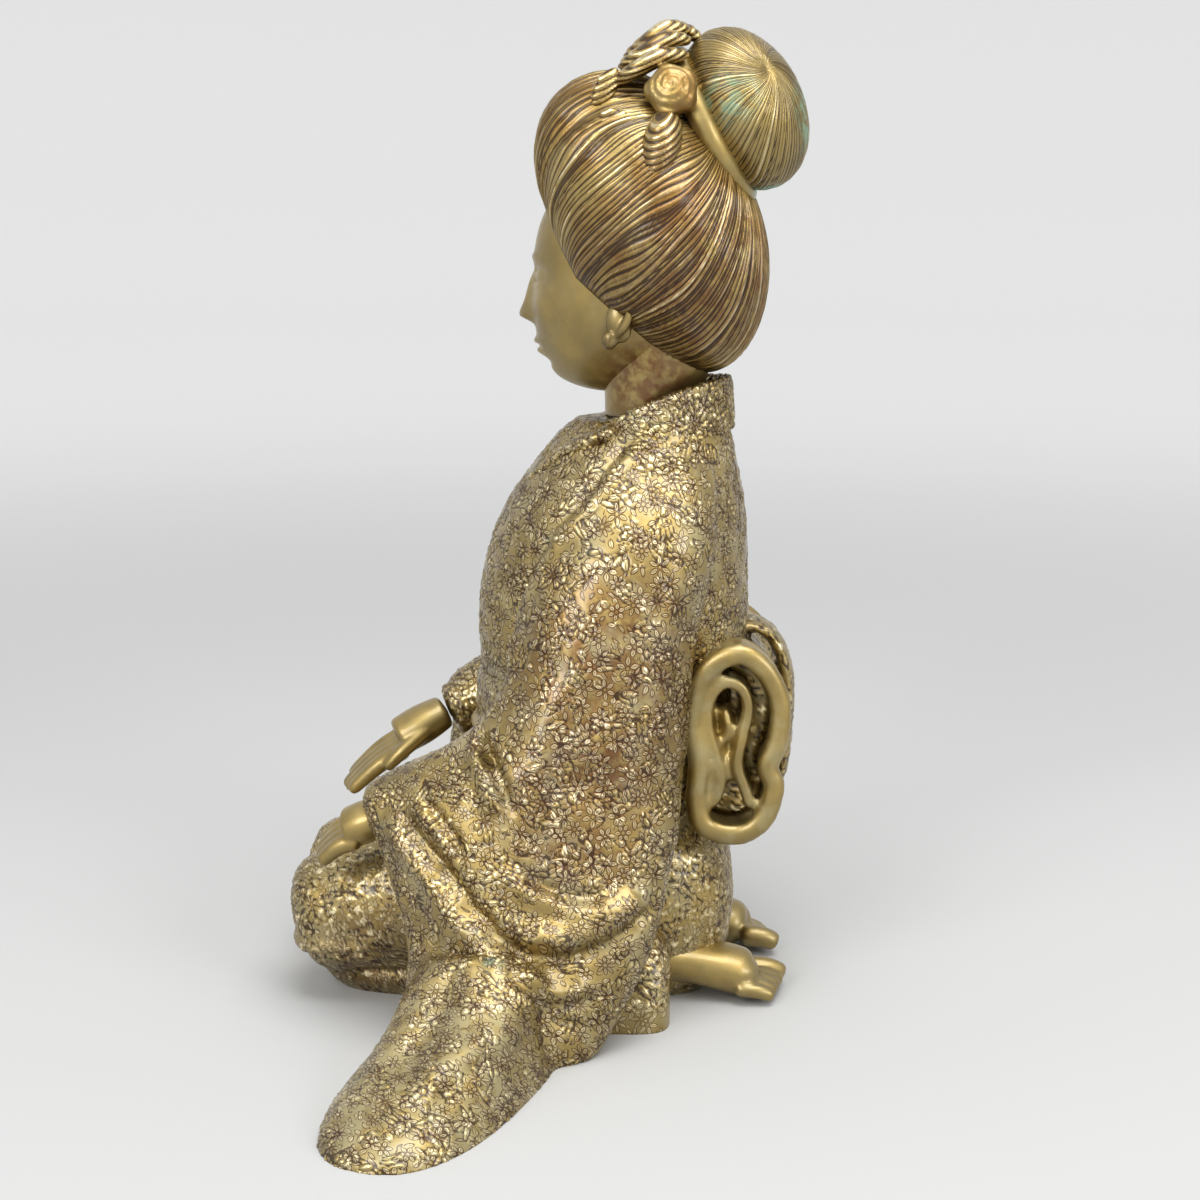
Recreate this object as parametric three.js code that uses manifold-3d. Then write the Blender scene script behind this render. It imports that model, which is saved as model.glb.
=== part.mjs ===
import * as THREE from 'three';
import { mergeVertices } from 'three/addons/utils/BufferGeometryUtils.js';
import Module from 'manifold-3d';

// All lengths are in millimetres. The figure faces -Y, its left side is +X, +Z is up.
// The origin lies on the floor under the axis of the torso.

const FULL_TURN = Math.PI * 2;

// robe around the trunk
const SHOULDER_HALF_WIDTH = 58;
const CHEST_FRONT = -55;
const BACK_REACH = 61;
const NECK_OPENING_HEIGHT = 246;

// legs folded under the robe
const KNEE_REACH = -129;
const KNEE_SPREAD = 25;
const KNEE_HEIGHT = 66;
const HIP_REACH = 57;
const LAP_HALF_WIDTH = 50;

// neck and collar
const NECK_RADIUS = 19;
const NECK_CENTRE_Y = 18;
const COLLAR_CENTRE_Y = 20;
const COLLAR_RADIUS = 34;
const COLLAR_THICKNESS = 4;
const COLLAR_TOP = 262;
const COLLAR_HEIGHT = 22;

// head, measured before it is turned about the neck
const HEAD_TURN = THREE.MathUtils.degToRad(-8);
const FACE_CENTRE = new THREE.Vector3(0, 8, 300);
const FACE_HALF_WIDTH = 32;
const FACE_DEPTH = 38;
const FACE_HALF_HEIGHT = 45;
const NOSE_LENGTH = 7;

// hair dressed back from the face to the knot
const HAIR_FLUTES = 12;
const HAIR_FLUTE_DEPTH = 1.0;
const HAIR_HALF_WIDTH = 62;
const FRONT_LOBE_ANGLE = THREE.MathUtils.degToRad(40);

// knot of hair and its rolled rim
const KNOT_CENTRE = new THREE.Vector3(0, 57, 370);
const KNOT_TILT = THREE.MathUtils.degToRad(27);
const KNOT_HALF_WIDTH = 31;
const KNOT_HALF_DEPTH = 24;
const KNOT_HALF_HEIGHT = 34;
const KNOT_FLUTES = 8;
const KNOT_RIM_THICKNESS = 5;

// bow of the sash
const BOW_HALF_WIDTH = 50;
const BOW_TOP = 153;
const BOW_BOTTOM = 77;
const BOW_FRONT = 38;
const BOW_BACK = 73;
const BOW_WALL = 6;
const BOW_POCKET_DEPTH = 24;

// sleeves
const SLEEVE_TRAIN_REACH = 190;
const FAR_TRAIN_REACH = 128;
const CUFF_RADIUS = 17;

const manifoldModule = await Module();
manifoldModule.setup();
const { Manifold, Mesh } = manifoldModule;

function toSolid(geometry) {
  const plain = geometry.clone();
  plain.deleteAttribute('normal');
  plain.deleteAttribute('uv');
  const merged = mergeVertices(plain, 1e-4);
  return new Manifold(new Mesh({
    numProp: 3,
    vertProperties: new Float32Array(merged.attributes.position.array),
    triVerts: new Uint32Array(merged.index.array),
  }));
}

function toGeometry(solid) {
  const mesh = solid.getMesh();
  const geometry = new THREE.BufferGeometry();
  const positions = new Float32Array(mesh.numVert * 3);
  for (let i = 0; i < mesh.numVert; i += 1) {
    positions[i * 3] = mesh.vertProperties[i * mesh.numProp];
    positions[i * 3 + 1] = mesh.vertProperties[i * mesh.numProp + 1];
    positions[i * 3 + 2] = mesh.vertProperties[i * mesh.numProp + 2];
  }
  geometry.setAttribute('position', new THREE.BufferAttribute(positions, 3));
  geometry.setIndex(Array.from(mesh.triVerts));
  return geometry;
}

// A closed skin through rings of points; pointAt takes the share of the way and the angle.
function skin(rings, sides, pointAt) {
  const positions = [];
  const index = [];
  for (let i = 0; i <= rings; i += 1) {
    for (let j = 0; j < sides; j += 1) {
      const point = pointAt(i / rings, (j / sides) * FULL_TURN);
      positions.push(point.x, point.y, point.z);
    }
  }
  for (let i = 0; i < rings; i += 1) {
    for (let j = 0; j < sides; j += 1) {
      const next = (j + 1) % sides;
      const a = i * sides + j;
      const b = i * sides + next;
      const c = (i + 1) * sides + next;
      const d = (i + 1) * sides + j;
      index.push(a, b, c, a, c, d);
    }
  }
  for (const ring of [0, rings]) {
    const middle = new THREE.Vector3();
    for (let j = 0; j < sides; j += 1) {
      const k = (ring * sides + j) * 3;
      middle.add(new THREE.Vector3(positions[k], positions[k + 1], positions[k + 2]));
    }
    middle.divideScalar(sides);
    const hub = positions.length / 3;
    positions.push(middle.x, middle.y, middle.z);
    for (let j = 0; j < sides; j += 1) {
      const here = ring * sides + j;
      const next = ring * sides + ((j + 1) % sides);
      if (ring === 0) {
        index.push(hub, next, here);
      } else {
        index.push(hub, here, next);
      }
    }
  }
  const geometry = new THREE.BufferGeometry();
  geometry.setAttribute('position', new THREE.Float32BufferAttribute(positions, 3));
  geometry.setIndex(index);
  const solid = toSolid(geometry);
  if (solid.volume() < 0) {
    for (let i = 0; i < index.length; i += 3) {
      const held = index[i + 1];
      index[i + 1] = index[i + 2];
      index[i + 2] = held;
    }
    geometry.setIndex(index);
    return toSolid(geometry);
  }
  return solid;
}

// Smooth run through a list of key values.
function run(values) {
  const curve = new THREE.SplineCurve(values.map((value, i) => new THREE.Vector2(i, value)));
  return (t) => curve.getPoint(t).y;
}

// Stack of level rings. Each level gives height, middle, half sizes, turn and squareness.
function stack(levels, rings, sides, surface = () => 0) {
  const height = run(levels.map((level) => level.z));
  const middleX = run(levels.map((level) => level.x ?? 0));
  const middleY = run(levels.map((level) => level.y));
  const halfX = run(levels.map((level) => level.wide));
  const halfY = run(levels.map((level) => level.deep));
  const turn = run(levels.map((level) => level.turn ?? 0));
  const square = run(levels.map((level) => level.square ?? 1));
  return skin(rings, sides, (t, angle) => {
    const power = square(t);
    const c = Math.cos(angle);
    const s = Math.sin(angle);
    const swell = surface(t, angle, height(t));
    const x = Math.sign(c) * Math.abs(c) ** power * (halfX(t) + swell);
    const y = Math.sign(s) * Math.abs(s) ** power * (halfY(t) + swell);
    const bend = turn(t);
    return new THREE.Vector3(
      middleX(t) + x * Math.cos(bend) - y * Math.sin(bend),
      middleY(t) + x * Math.sin(bend) + y * Math.cos(bend),
      height(t),
    );
  });
}

// Round limb along a path with rounded ends; flat is its height over its width.
function limb(points, radii, rings, sides, flat = 1) {
  const path = new THREE.CatmullRomCurve3(points.map((p) => new THREE.Vector3(...p)));
  const radius = run(radii);
  const up = new THREE.Vector3(0, 0, 1);
  return skin(rings, sides, (t, angle) => {
    const eased = 0.5 - 0.5 * Math.cos(Math.PI * t);
    const share = 0.5 * t + 0.5 * eased;
    const along = path.getTangent(share);
    const side = new THREE.Vector3().crossVectors(along, up);
    if (side.lengthSq() < 1e-6) {
      side.set(1, 0, 0);
    }
    side.normalize();
    const rise = new THREE.Vector3().crossVectors(side, along).normalize();
    const end = Math.min(t, 1 - t) * 5;
    const round = end < 1 ? Math.sqrt(1 - (1 - end) ** 2) : 1;
    const size = radius(share) * Math.max(round, 0.3);
    return path.getPoint(share)
      .addScaledVector(side, Math.cos(angle) * size)
      .addScaledVector(rise, Math.sin(angle) * size * flat);
  });
}

function ball(centre, half, sides = 12, turnX = 0, turnZ = 0) {
  const geometry = new THREE.SphereGeometry(1, sides, Math.max(4, Math.round(sides * 0.6)));
  geometry.scale(...half);
  geometry.rotateX(turnX);
  geometry.rotateZ(turnZ);
  geometry.translate(...centre);
  return toSolid(geometry);
}

function joined(solids) {
  return solids.reduce((whole, solid) => whole.add(solid));
}

// ---- trunk of the robe
function trunkSolid() {
  const levels = [
    { z: 40, y: 2, wide: 50, deep: 55 },
    { z: 95, y: 3, wide: 50, deep: 54 },
    { z: 128, y: 4, wide: 52, deep: 55 },
    { z: 150, y: (CHEST_FRONT + BACK_REACH) / 2, wide: 55, deep: (BACK_REACH - CHEST_FRONT) / 2 },
    { z: 172, y: 4, wide: 57, deep: 57 },
    { z: 192, y: 6, wide: SHOULDER_HALF_WIDTH, deep: 54.5 },
    { z: 210, y: 9, wide: SHOULDER_HALF_WIDTH - 2, deep: 50 },
    { z: 225, y: 13, wide: 46, deep: 43 },
    { z: 237, y: 16.5, wide: 35, deep: 37 },
    { z: NECK_OPENING_HEIGHT, y: 20, wide: 26, deep: 30 },
  ];
  return stack(levels, 9, 20);
}

// ---- lap: thighs over shins, seen through the skirt of the robe
function lapSolid() {
  const middle = (KNEE_REACH + HIP_REACH) / 2;
  const deep = (HIP_REACH - KNEE_REACH) / 2;
  const levels = [
    { z: -2, y: middle + 1, wide: LAP_HALF_WIDTH - 14, deep: deep - 16, square: 0.7 },
    { z: 9, y: middle, wide: LAP_HALF_WIDTH - 5, deep: deep - 5, square: 0.66 },
    { z: 36, y: middle, wide: LAP_HALF_WIDTH, deep, square: 0.66 },
    { z: 54, y: middle + 1, wide: LAP_HALF_WIDTH, deep: deep - 2, square: 0.7 },
    { z: KNEE_HEIGHT, y: middle + 7, wide: LAP_HALF_WIDTH - 3, deep: deep - 10, square: 0.8 },
    { z: 80, y: middle + 20, wide: LAP_HALF_WIDTH - 8, deep: deep - 26 },
    { z: 100, y: middle + 34, wide: LAP_HALF_WIDTH - 12, deep: deep - 42 },
  ];
  const block = stack(levels, 6, 22, (t, angle) => 1.6 * Math.cos(angle * 6));
  const thighs = [-1, 1].map((side) => limb(
    [
      [side * 18, 20, 52],
      [side * 21, -40, 50],
      [side * KNEE_SPREAD, -86, 42],
      [side * (KNEE_SPREAD - 2), KNEE_REACH - 2, 30],
    ],
    [34, 34, 30, 24],
    5,
    10,
  ));
  const skirtFold = limb([[44, -118, 26], [50, -96, 30], [53, -70, 34]], [5, 7, 6], 4, 6);
  return joined([block, ...thighs, skirtFold]);
}

// ---- near sleeve: one fall of cloth from the shoulder, the forearm in it, the train on the floor
function nearSleeveSolid() {
  const fall = stack(
    [
      { z: 0, x: 82, y: -38, wide: 34, deep: 44, turn: -0.1, square: 0.85 },
      { z: 18, x: 81, y: -34, wide: 32, deep: 49, turn: -0.05, square: 0.9 },
      { z: 42, x: 76, y: -29, wide: 30, deep: 53 },
      { z: 66, x: 71, y: -29, wide: 28, deep: 58 },
      { z: 88, x: 66, y: -27, wide: 26, deep: 61 },
      { z: 106, x: 62, y: -22, wide: 25, deep: 57 },
      { z: 126, x: 58, y: -6, wide: 25, deep: 43 },
      { z: 150, x: 54, y: 1, wide: 24, deep: 37 },
      { z: 175, x: 50, y: 6, wide: 22, deep: 36 },
      { z: 200, x: 44, y: 14, wide: 20, deep: 32 },
      { z: 222, x: 34, y: 20, wide: 16, deep: 26 },
      { z: 232, x: 26, y: 22, wide: 12, deep: 20 },
    ],
    13,
    18,
    (t, angle) => (t < 0.5 ? 1.6 : 0.6) * Math.cos(angle * 5 + t * 4),
  );
  const foreArm = limb(
    [[58, -22, 112], [58, -50, 102], [56, -76, 92], [55, -93, 84]],
    [23, 21, 19, CUFF_RADIUS],
    4,
    10,
    0.85,
  );
  const train = stack(
    [
      { z: 0, x: 127, y: -56, wide: SLEEVE_TRAIN_REACH - 117, deep: 33, turn: -0.33, square: 0.8 },
      { z: 8, x: 124, y: -55, wide: SLEEVE_TRAIN_REACH - 121, deep: 31, turn: -0.33, square: 0.85 },
      { z: 16, x: 114, y: -51, wide: 57, deep: 27, turn: -0.3, square: 0.9 },
      { z: 28, x: 100, y: -47, wide: 40, deep: 27, turn: -0.2 },
      { z: 44, x: 88, y: -40, wide: 24, deep: 25, turn: -0.1 },
    ],
    5,
    20,
    (t, angle) => 1.2 * Math.cos(angle * 6),
  );
  const folds = [
    limb([[76, -84, 84], [88, -76, 62], [98, -52, 44], [102, -18, 38], [88, 18, 52]], [4, 6, 8, 8, 5], 7, 6),
    limb([[78, -62, 98], [88, -48, 82], [94, -20, 72], [92, 6, 76], [78, 26, 98]], [4, 5, 6, 6, 4], 6, 6),
    limb([[94, -78, 40], [108, -72, 24], [132, -72, 15], [166, -84, 9]], [5, 7, 7, 5], 4, 6),
    limb([[106, -24, 26], [124, -34, 17], [150, -50, 11], [174, -64, 7]], [6, 8, 7, 5], 4, 6),
  ];
  return joined([fall, foreArm, train, ...folds]);
}

// ---- far sleeve: the same garment, laid closer and left plainer
function farSleeveSolid() {
  const fall = stack(
    [
      { z: 0, x: -74, y: -34, wide: 30, deep: 44, turn: 0.1, square: 0.8 },
      { z: 18, x: -72, y: -31, wide: 29, deep: 46, square: 0.9 },
      { z: 42, x: -69, y: -27, wide: 28, deep: 48 },
      { z: 72, x: -66, y: -24, wide: 26, deep: 50 },
      { z: 100, x: -62, y: -20, wide: 25, deep: 50 },
      { z: 126, x: -58, y: -8, wide: 25, deep: 45 },
      { z: 150, x: -54, y: 1, wide: 24, deep: 37 },
      { z: 175, x: -50, y: 6, wide: 22, deep: 36 },
      { z: 200, x: -44, y: 14, wide: 20, deep: 32 },
      { z: 222, x: -34, y: 20, wide: 16, deep: 26 },
      { z: 232, x: -26, y: 22, wide: 12, deep: 20 },
    ],
    10,
    16,
    (t, angle) => (t < 0.5 ? 1.4 : 0.6) * Math.cos(angle * 5 - t * 4),
  );
  const foreArm = limb(
    [[-56, -14, 128], [-50, -40, 124], [-42, -60, 119], [-37, -72, 113]],
    [23, 21, 19, CUFF_RADIUS],
    4,
    10,
    0.9,
  );
  const train = stack(
    [
      { z: 0, x: -88, y: -46, wide: FAR_TRAIN_REACH - 88, deep: 32, turn: 0.3, square: 0.8 },
      { z: 8, x: -87, y: -46, wide: FAR_TRAIN_REACH - 91, deep: 30, turn: 0.3 },
      { z: 16, x: -84, y: -44, wide: 32, deep: 26, turn: 0.3 },
      { z: 30, x: -80, y: -40, wide: 24, deep: 22, turn: 0.3 },
    ],
    3,
    14,
  );
  const folds = [
    limb([[-74, -72, 84], [-84, -62, 60], [-94, -36, 46], [-94, -6, 46], [-80, 18, 62]], [4, 6, 7, 7, 5], 6, 5),
    limb([[-74, -54, 104], [-84, -38, 86], [-88, -12, 78], [-80, 14, 88]], [4, 5, 6, 4], 5, 5),
    limb([[-86, -66, 30], [-98, -62, 16], [-FAR_TRAIN_REACH + 10, -68, 7]], [5, 7, 5], 4, 5),
  ];
  return joined([fall, foreArm, train, ...folds]);
}

// ---- hands
function handSolid(wrist, knuckles, tips, spread, thickness) {
  const start = new THREE.Vector3(...wrist);
  const middle = new THREE.Vector3(...knuckles);
  const palm = limb([wrist, start.clone().lerp(middle, 0.5).toArray(), knuckles], [8, 10.5, 10], 2, 7, 0.6);
  const fingers = [-1.5, -0.5, 0.5, 1.5].map((slot) => {
    const reach = 1 - 0.07 * Math.abs(slot + 0.4);
    const base = [middle.x + slot * spread, middle.y + 4, middle.z];
    const tip = new THREE.Vector3(...tips).sub(middle).multiplyScalar(reach);
    const end = [middle.x + slot * spread + tip.x, middle.y + tip.y, middle.z + tip.z];
    const bend = [(base[0] + end[0]) / 2, (base[1] + end[1]) / 2, (base[2] + end[2]) / 2 + 2];
    return limb([base, bend, end], [thickness, thickness, thickness], 4, 5, 0.85);
  });
  return joined([palm, ...fingers]);
}

function handSolids() {
  const near = handSolid([56, -88, 87], [54, -104, 80], [54, -117, 68], 4.4, 3.4);
  const far = handSolid([-33, -72, 109], [-27, -94, 97], [-22, -118, 74], 4.4, 3.4);
  const nearThumb = limb([[45, -92, 82], [43, -104, 77], [45, -111, 72]], [3.4, 3.2, 2.8], 2, 5);
  const farThumb = limb([[-24, -78, 104], [-17, -90, 94], [-15, -98, 86]], [3.4, 3.2, 2.8], 2, 5);
  const cuff = limb([[-40, -54, 119], [-36, -66, 113], [-33, -75, 108]], [13, 13, 12.5], 2, 9, 0.95);
  return joined([near, far, nearThumb, farThumb, cuff]);
}

// ---- feet, soles up, behind the robe
function footSolid(side, reach) {
  const x = side * 30;
  const sole = limb(
    [[x - side * 2, 16, 18], [x, 34, 17], [x, 52, 14], [x, reach - 12, 9]],
    [13, 12, 13, 13],
    5,
    8,
    0.82,
  );
  const toes = [0, 1, 2, 3, 4].map((toe) => {
    const slide = x + side * (10 - toe * 5);
    const size = toe === 4 ? 4.6 : 3.2 + toe * 0.2;
    return ball([slide, reach - 12 + toe * 1.6, size + 2], [size * 0.9, 9, size], 6);
  });
  return joined([sole, ...toes]);
}

// ---- corner of the under-robe spread beside the near foot
function hemSolid() {
  const corner = limb([[48, -8, 22], [58, 6, 16], [68, 18, 6]], [13, 13, 9], 4, 8, 0.8);
  const edge = limb([[44, 22, 20], [56, 24, 12], [74, 26, 3]], [7, 6, 5], 4, 6);
  const farCorner = limb([[-44, -4, 20], [-54, 10, 14], [-60, 22, 5]], [12, 12, 8], 4, 8, 0.8);
  return joined([corner, edge, farCorner]);
}

// ---- neck and standing collar
function neckSolid() {
  return limb(
    [[0, NECK_CENTRE_Y + 4, 224], [0, NECK_CENTRE_Y, 250], [0, NECK_CENTRE_Y - 2, 286]],
    [NECK_RADIUS + 4, NECK_RADIUS, NECK_RADIUS],
    4,
    16,
  );
}

function collarSolid() {
  const openHalf = 0.5;
  const sweep = FULL_TURN - 2 * openHalf;
  const pieces = 18;
  const band = skin(pieces, 4, (t, angle) => {
    const around = -Math.PI / 2 + openHalf + t * sweep;
    const atBack = 0.5 + 0.5 * Math.sin(around);
    const drop = (1 - atBack) ** 1.4;
    const corner = Math.round((angle / FULL_TURN) * 4) % 4;
    const outer = corner === 0 || corner === 3 ? 1 : 0;
    const upper = corner < 2 ? 1 : 0;
    const top = COLLAR_TOP - 24 * drop;
    const low = top - COLLAR_HEIGHT - 4 * drop;
    const flare = upper ? 0 : 1.5 + 8 * drop;
    const radius = COLLAR_RADIUS - 6 + 5 * atBack + flare + (outer ? 0 : -COLLAR_THICKNESS);
    return new THREE.Vector3(
      Math.cos(around) * radius * 0.92,
      COLLAR_CENTRE_Y + Math.sin(around) * radius,
      upper ? top : low,
    );
  });
  const lapels = [-1, 1].map((side) => limb(
    [
      [side * 27, 8, 243],
      [side * 19, -16, 233],
      [side * 8, -33, 215],
      [-side * 3, -43.5, 192],
      [-side * 11, -48 + side, 164],
      [-side * 14, -49 + side, 134],
    ],
    [8, 8, 8, 8],
    7,
    6,
    0.42,
  ));
  return joined([band, ...lapels]);
}

// ---- sash round the waist and its bow with open ends
function sashSolid() {
  const band = stack(
    [
      { z: 92, y: 2, wide: 51, deep: 54 },
      { z: 96, y: 2.5, wide: 53.5, deep: 56 },
      { z: 132, y: 3, wide: 55, deep: 57 },
      { z: 137, y: 3, wide: 52.5, deep: 55 },
    ],
    3,
    20,
  );
  return band;
}

function bowOutline(inset) {
  const outline = new THREE.Shape();
  const front = BOW_FRONT + inset;
  const back = BOW_BACK - inset;
  const top = BOW_TOP - inset;
  const bottom = BOW_BOTTOM + inset;
  const notch = 104;
  outline.moveTo(front, bottom + 14);
  outline.quadraticCurveTo(front + 2, bottom, front + 15, bottom);
  outline.quadraticCurveTo(back + 1, bottom + 2, back - 1, notch - 8);
  outline.quadraticCurveTo(back - 2, notch - 2, back - 5, notch);
  outline.quadraticCurveTo(back + 1, notch + 4, back + 1, notch + 18);
  outline.quadraticCurveTo(back, top - 8, back - 14, top - 1);
  outline.quadraticCurveTo(front + 4, top + 1, front, top - 20);
  outline.closePath();
  return outline;
}

function bowPiece(outline, from, to) {
  const geometry = new THREE.ExtrudeGeometry(outline, { depth: to - from, bevelEnabled: false, curveSegments: 2 });
  geometry.translate(0, 0, from);
  const turned = new THREE.Matrix4().set(0, 0, 1, 0, 1, 0, 0, 0, 0, 1, 0, 0, 0, 0, 0, 1);
  geometry.applyMatrix4(turned);
  return toSolid(geometry);
}

function bowSolid() {
  const body = bowPiece(bowOutline(0), -BOW_HALF_WIDTH, BOW_HALF_WIDTH);
  const pockets = [-1, 1].map((side) => {
    const outerEnd = side * (BOW_HALF_WIDTH + 1);
    const innerEnd = side * (BOW_HALF_WIDTH - BOW_POCKET_DEPTH);
    return bowPiece(bowOutline(BOW_WALL), Math.min(outerEnd, innerEnd), Math.max(outerEnd, innerEnd));
  });
  const loops = [-1, 1].map((side) => {
    const near = side * (BOW_HALF_WIDTH - 4);
    const deep = side * (BOW_HALF_WIDTH - BOW_POCKET_DEPTH - 2);
    const rim = [
      [near, 50, 84],
      [near, 47, 108],
      [near, 50, 130],
      [near, 58, 138],
      [near, 65, 130],
      [near, 63, 114],
      [near, 60, 96],
      [near, 61, 82],
    ];
    const floor = rim.map(([, y, z]) => [deep, y, z]);
    const edge = limb(rim, [3.2, 3.2, 3.2, 3.2], 8, 4);
    const web = limb(floor, [5, 5, 5, 5], 6, 4);
    const fold = limb([[deep, 55, 78], [near - side * 3, 55, 92], [near - side * 3, 56, 110]], [4, 3.4, 3], 2, 4);
    return joined([edge, web, fold]);
  });
  const strap = limb([[-44, 46, 150], [0, 54, 155], [44, 46, 150]], [6, 7, 6], 4, 6);
  return pockets.reduce((left, pocket) => left.subtract(pocket), body).add(joined([...loops, strap]));
}

// ---- face: a calm oval of even proportions
function faceSolid() {
  const bump = (x, y, cx, cy, wide, high) => Math.exp(-(((x - cx) / wide) ** 2) - ((y - cy) / high) ** 2);
  return skin(16, 20, (t, angle) => {
    const polar = Math.PI * (0.04 + 0.92 * t);
    const level = Math.cos(polar);
    const girth = Math.sin(polar) ** 0.92;
    const jaw = level < 0 ? 1 - 0.3 * level ** 2 : 1;
    const x = Math.cos(angle) * girth * FACE_HALF_WIDTH * jaw;
    let y = Math.sin(angle) * girth * FACE_DEPTH * (level < 0 ? 1 - 0.1 * level ** 2 : 1);
    const z = level * FACE_HALF_HEIGHT;
    if (y < 0) {
      const nose = NOSE_LENGTH * bump(x, z, 0, -15, 5.5, 6) + 3.5 * bump(x, z, 0, -4, 4.5, 9);
      const sockets = 2.6 * (bump(x, z, 12.5, 0, 8, 5) + bump(x, z, -12.5, 0, 8, 5));
      const lips = 2.2 * bump(x, z, 0, -26, 8, 3.4);
      const chin = 2 * bump(x, z, 0, -38, 9, 5);
      y -= nose + lips + chin - sockets;
    }
    return new THREE.Vector3(FACE_CENTRE.x + x, FACE_CENTRE.y + y, FACE_CENTRE.z + z);
  });
}

function earSolids() {
  return joined([-1, 1].map((side) => ball([side * 32, 10, 284], [4, 6, 9], 7)));
}

// ---- hair combed from the hairline back to the knot, in flutes
function hairPoint(t, angle) {
  const s = Math.sin(angle);
  const c = Math.cos(angle);
  const top = Math.max(c, 0);
  const low = Math.max(-c, 0);
  const side = 1 - Math.abs(c);
  const mix = (a, b, d) => a * top + b * low + d * side;
  const start = new THREE.Vector3(34 * s, mix(-25, 34, -6), mix(337, 266, 303));
  const early = new THREE.Vector3(HAIR_HALF_WIDTH * s, mix(-38, 58, 2), mix(376, 254, 318));
  const late = new THREE.Vector3(HAIR_HALF_WIDTH * s, mix(0, 80, 50), mix(401, 296, 338));
  const end = new THREE.Vector3(22 * s, mix(36, 60, 48), mix(372, 338, 355));
  return new THREE.CubicBezierCurve3(start, early, late, end).getPoint(t);
}

function hairSolid() {
  const heart = new THREE.Vector3(0, 24, 318);
  const flare = skin(8, 48, (t, angle) => {
    const point = hairPoint(t, angle);
    const out = point.clone().sub(heart).normalize();
    const body = Math.sin(Math.PI * t) ** 0.6;
    const wave = Math.abs(Math.cos(angle * HAIR_FLUTES * 0.5));
    const away = Math.min(Math.abs(angle - FRONT_LOBE_ANGLE), Math.abs(FULL_TURN - angle - FRONT_LOBE_ANGLE));
    const part = Math.exp(-((away / 0.09) ** 2)) * 3.5;
    const inLobe = Math.min(angle, FULL_TURN - angle) < FRONT_LOBE_ANGLE ? 1.5 : 0;
    return point.addScaledVector(out, body * (HAIR_FLUTE_DEPTH * (wave - 0.5) * 2 - part + inLobe));
  });
  return flare;
}

// ---- knot: a leaning dome of fluted hair on a rolled rim
function knotSolid() {
  const place = new THREE.Matrix4()
    .makeRotationX(KNOT_TILT)
    .setPosition(KNOT_CENTRE);
  const dome = skin(6, 24, (t, angle) => {
    const polar = Math.PI * (0.03 + 0.94 * t);
    const ridge = Math.abs(Math.cos(angle * KNOT_FLUTES * 0.5));
    const swell = 1 + 0.05 * (ridge - 0.6) * Math.sin(polar);
    return new THREE.Vector3(
      Math.sin(polar) * Math.cos(angle) * KNOT_HALF_WIDTH * swell,
      Math.cos(polar) * KNOT_HALF_DEPTH,
      Math.sin(polar) * Math.sin(angle) * KNOT_HALF_HEIGHT * swell,
    ).applyMatrix4(place);
  });
  const rim = new THREE.TorusGeometry(1, KNOT_RIM_THICKNESS / KNOT_HALF_HEIGHT, 5, 15);
  rim.scale(KNOT_HALF_WIDTH * 0.86, KNOT_HALF_HEIGHT * 0.88, KNOT_HALF_HEIGHT);
  rim.rotateX(Math.PI / 2);
  rim.translate(0, -KNOT_HALF_DEPTH * 0.62, 0);
  rim.applyMatrix4(place);
  return dome.add(toSolid(rim));
}

// ---- flowers set between the front hair and the knot
function flowerSolid() {
  const curls = [
    [[17, 17, 386], [14, 24, 396], [8, 31, 401], [4, 38, 396]],
    [[4, 22, 392], [0, 30, 401], [2, 38, 400], [6, 43, 392]],
    [[24, 12, 384], [24, 20, 388], [18, 29, 392], [12, 38, 392]],
    [[29, 12, 377], [30, 19, 381], [26, 27, 384], [20, 36, 386]],
    [[-22, 18, 378], [-20, 26, 384], [-14, 36, 386]],
  ].map((path) => limb(path, [3, 4.4, 4.4, 3], 3, 4, 0.8));
  const rose = ball([28, 32, 375], [9, 9, 9.5], 8);
  const petals = [0, 1, 2, 3, 4].map((petal) => {
    const angle = (petal / 5) * FULL_TURN + 0.3;
    return ball([31, 32 + Math.cos(angle) * 6.2, 375 + Math.sin(angle) * 6.6], [4.5, 4.6, 4.6], 5);
  });
  const heart = ball([36, 32, 375], [3, 3.2, 3.2], 5);
  const leaves = [
    ball([41, 14, 362], [3.5, 9, 5.5], 6, -0.5, 0.3),
    ball([31, 3, 378], [3.5, 5, 9.5], 6, -0.4, 0.4),
    ball([-28, 24, 372], [4, 9, 6], 6, -0.4, -0.3),
  ];
  const stem = limb([[41, 14, 358], [43, 8, 355], [42, 3, 355]], [1.6, 1.6, 1.4], 4, 6);
  const bud = limb([[36, 31, 364], [42, 30, 356], [46, 28, 348], [47, 27, 341]], [5, 7.5, 6, 2.5], 3, 6);
  return joined([...curls, rose, ...petals, heart, ...leaves, stem, bud]);
}

// ---- the whole casting
const neckAxis = [0, NECK_CENTRE_Y, 0];
const head = joined([faceSolid(), earSolids(), hairSolid(), knotSolid(), flowerSolid()])
  .translate([-neckAxis[0], -neckAxis[1], 0])
  .rotate([0, 0, THREE.MathUtils.radToDeg(HEAD_TURN)])
  .translate(neckAxis);

const body = joined([
  trunkSolid(),
  lapSolid(),
  nearSleeveSolid(),
  farSleeveSolid(),
  sashSolid(),
  bowSolid(),
  neckSolid(),
  collarSolid(),
  handSolids(),
  footSolid(1, 77),
  footSolid(-1, 76),
  hemSolid(),
]);

const floorCut = new THREE.BoxGeometry(600, 600, 100);
floorCut.translate(0, 0, -50);
const shells = body.add(head).subtract(toSolid(floorCut)).decompose();
const casting = shells.reduce((most, shell) => (shell.volume() > most.volume() ? shell : most));

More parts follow.
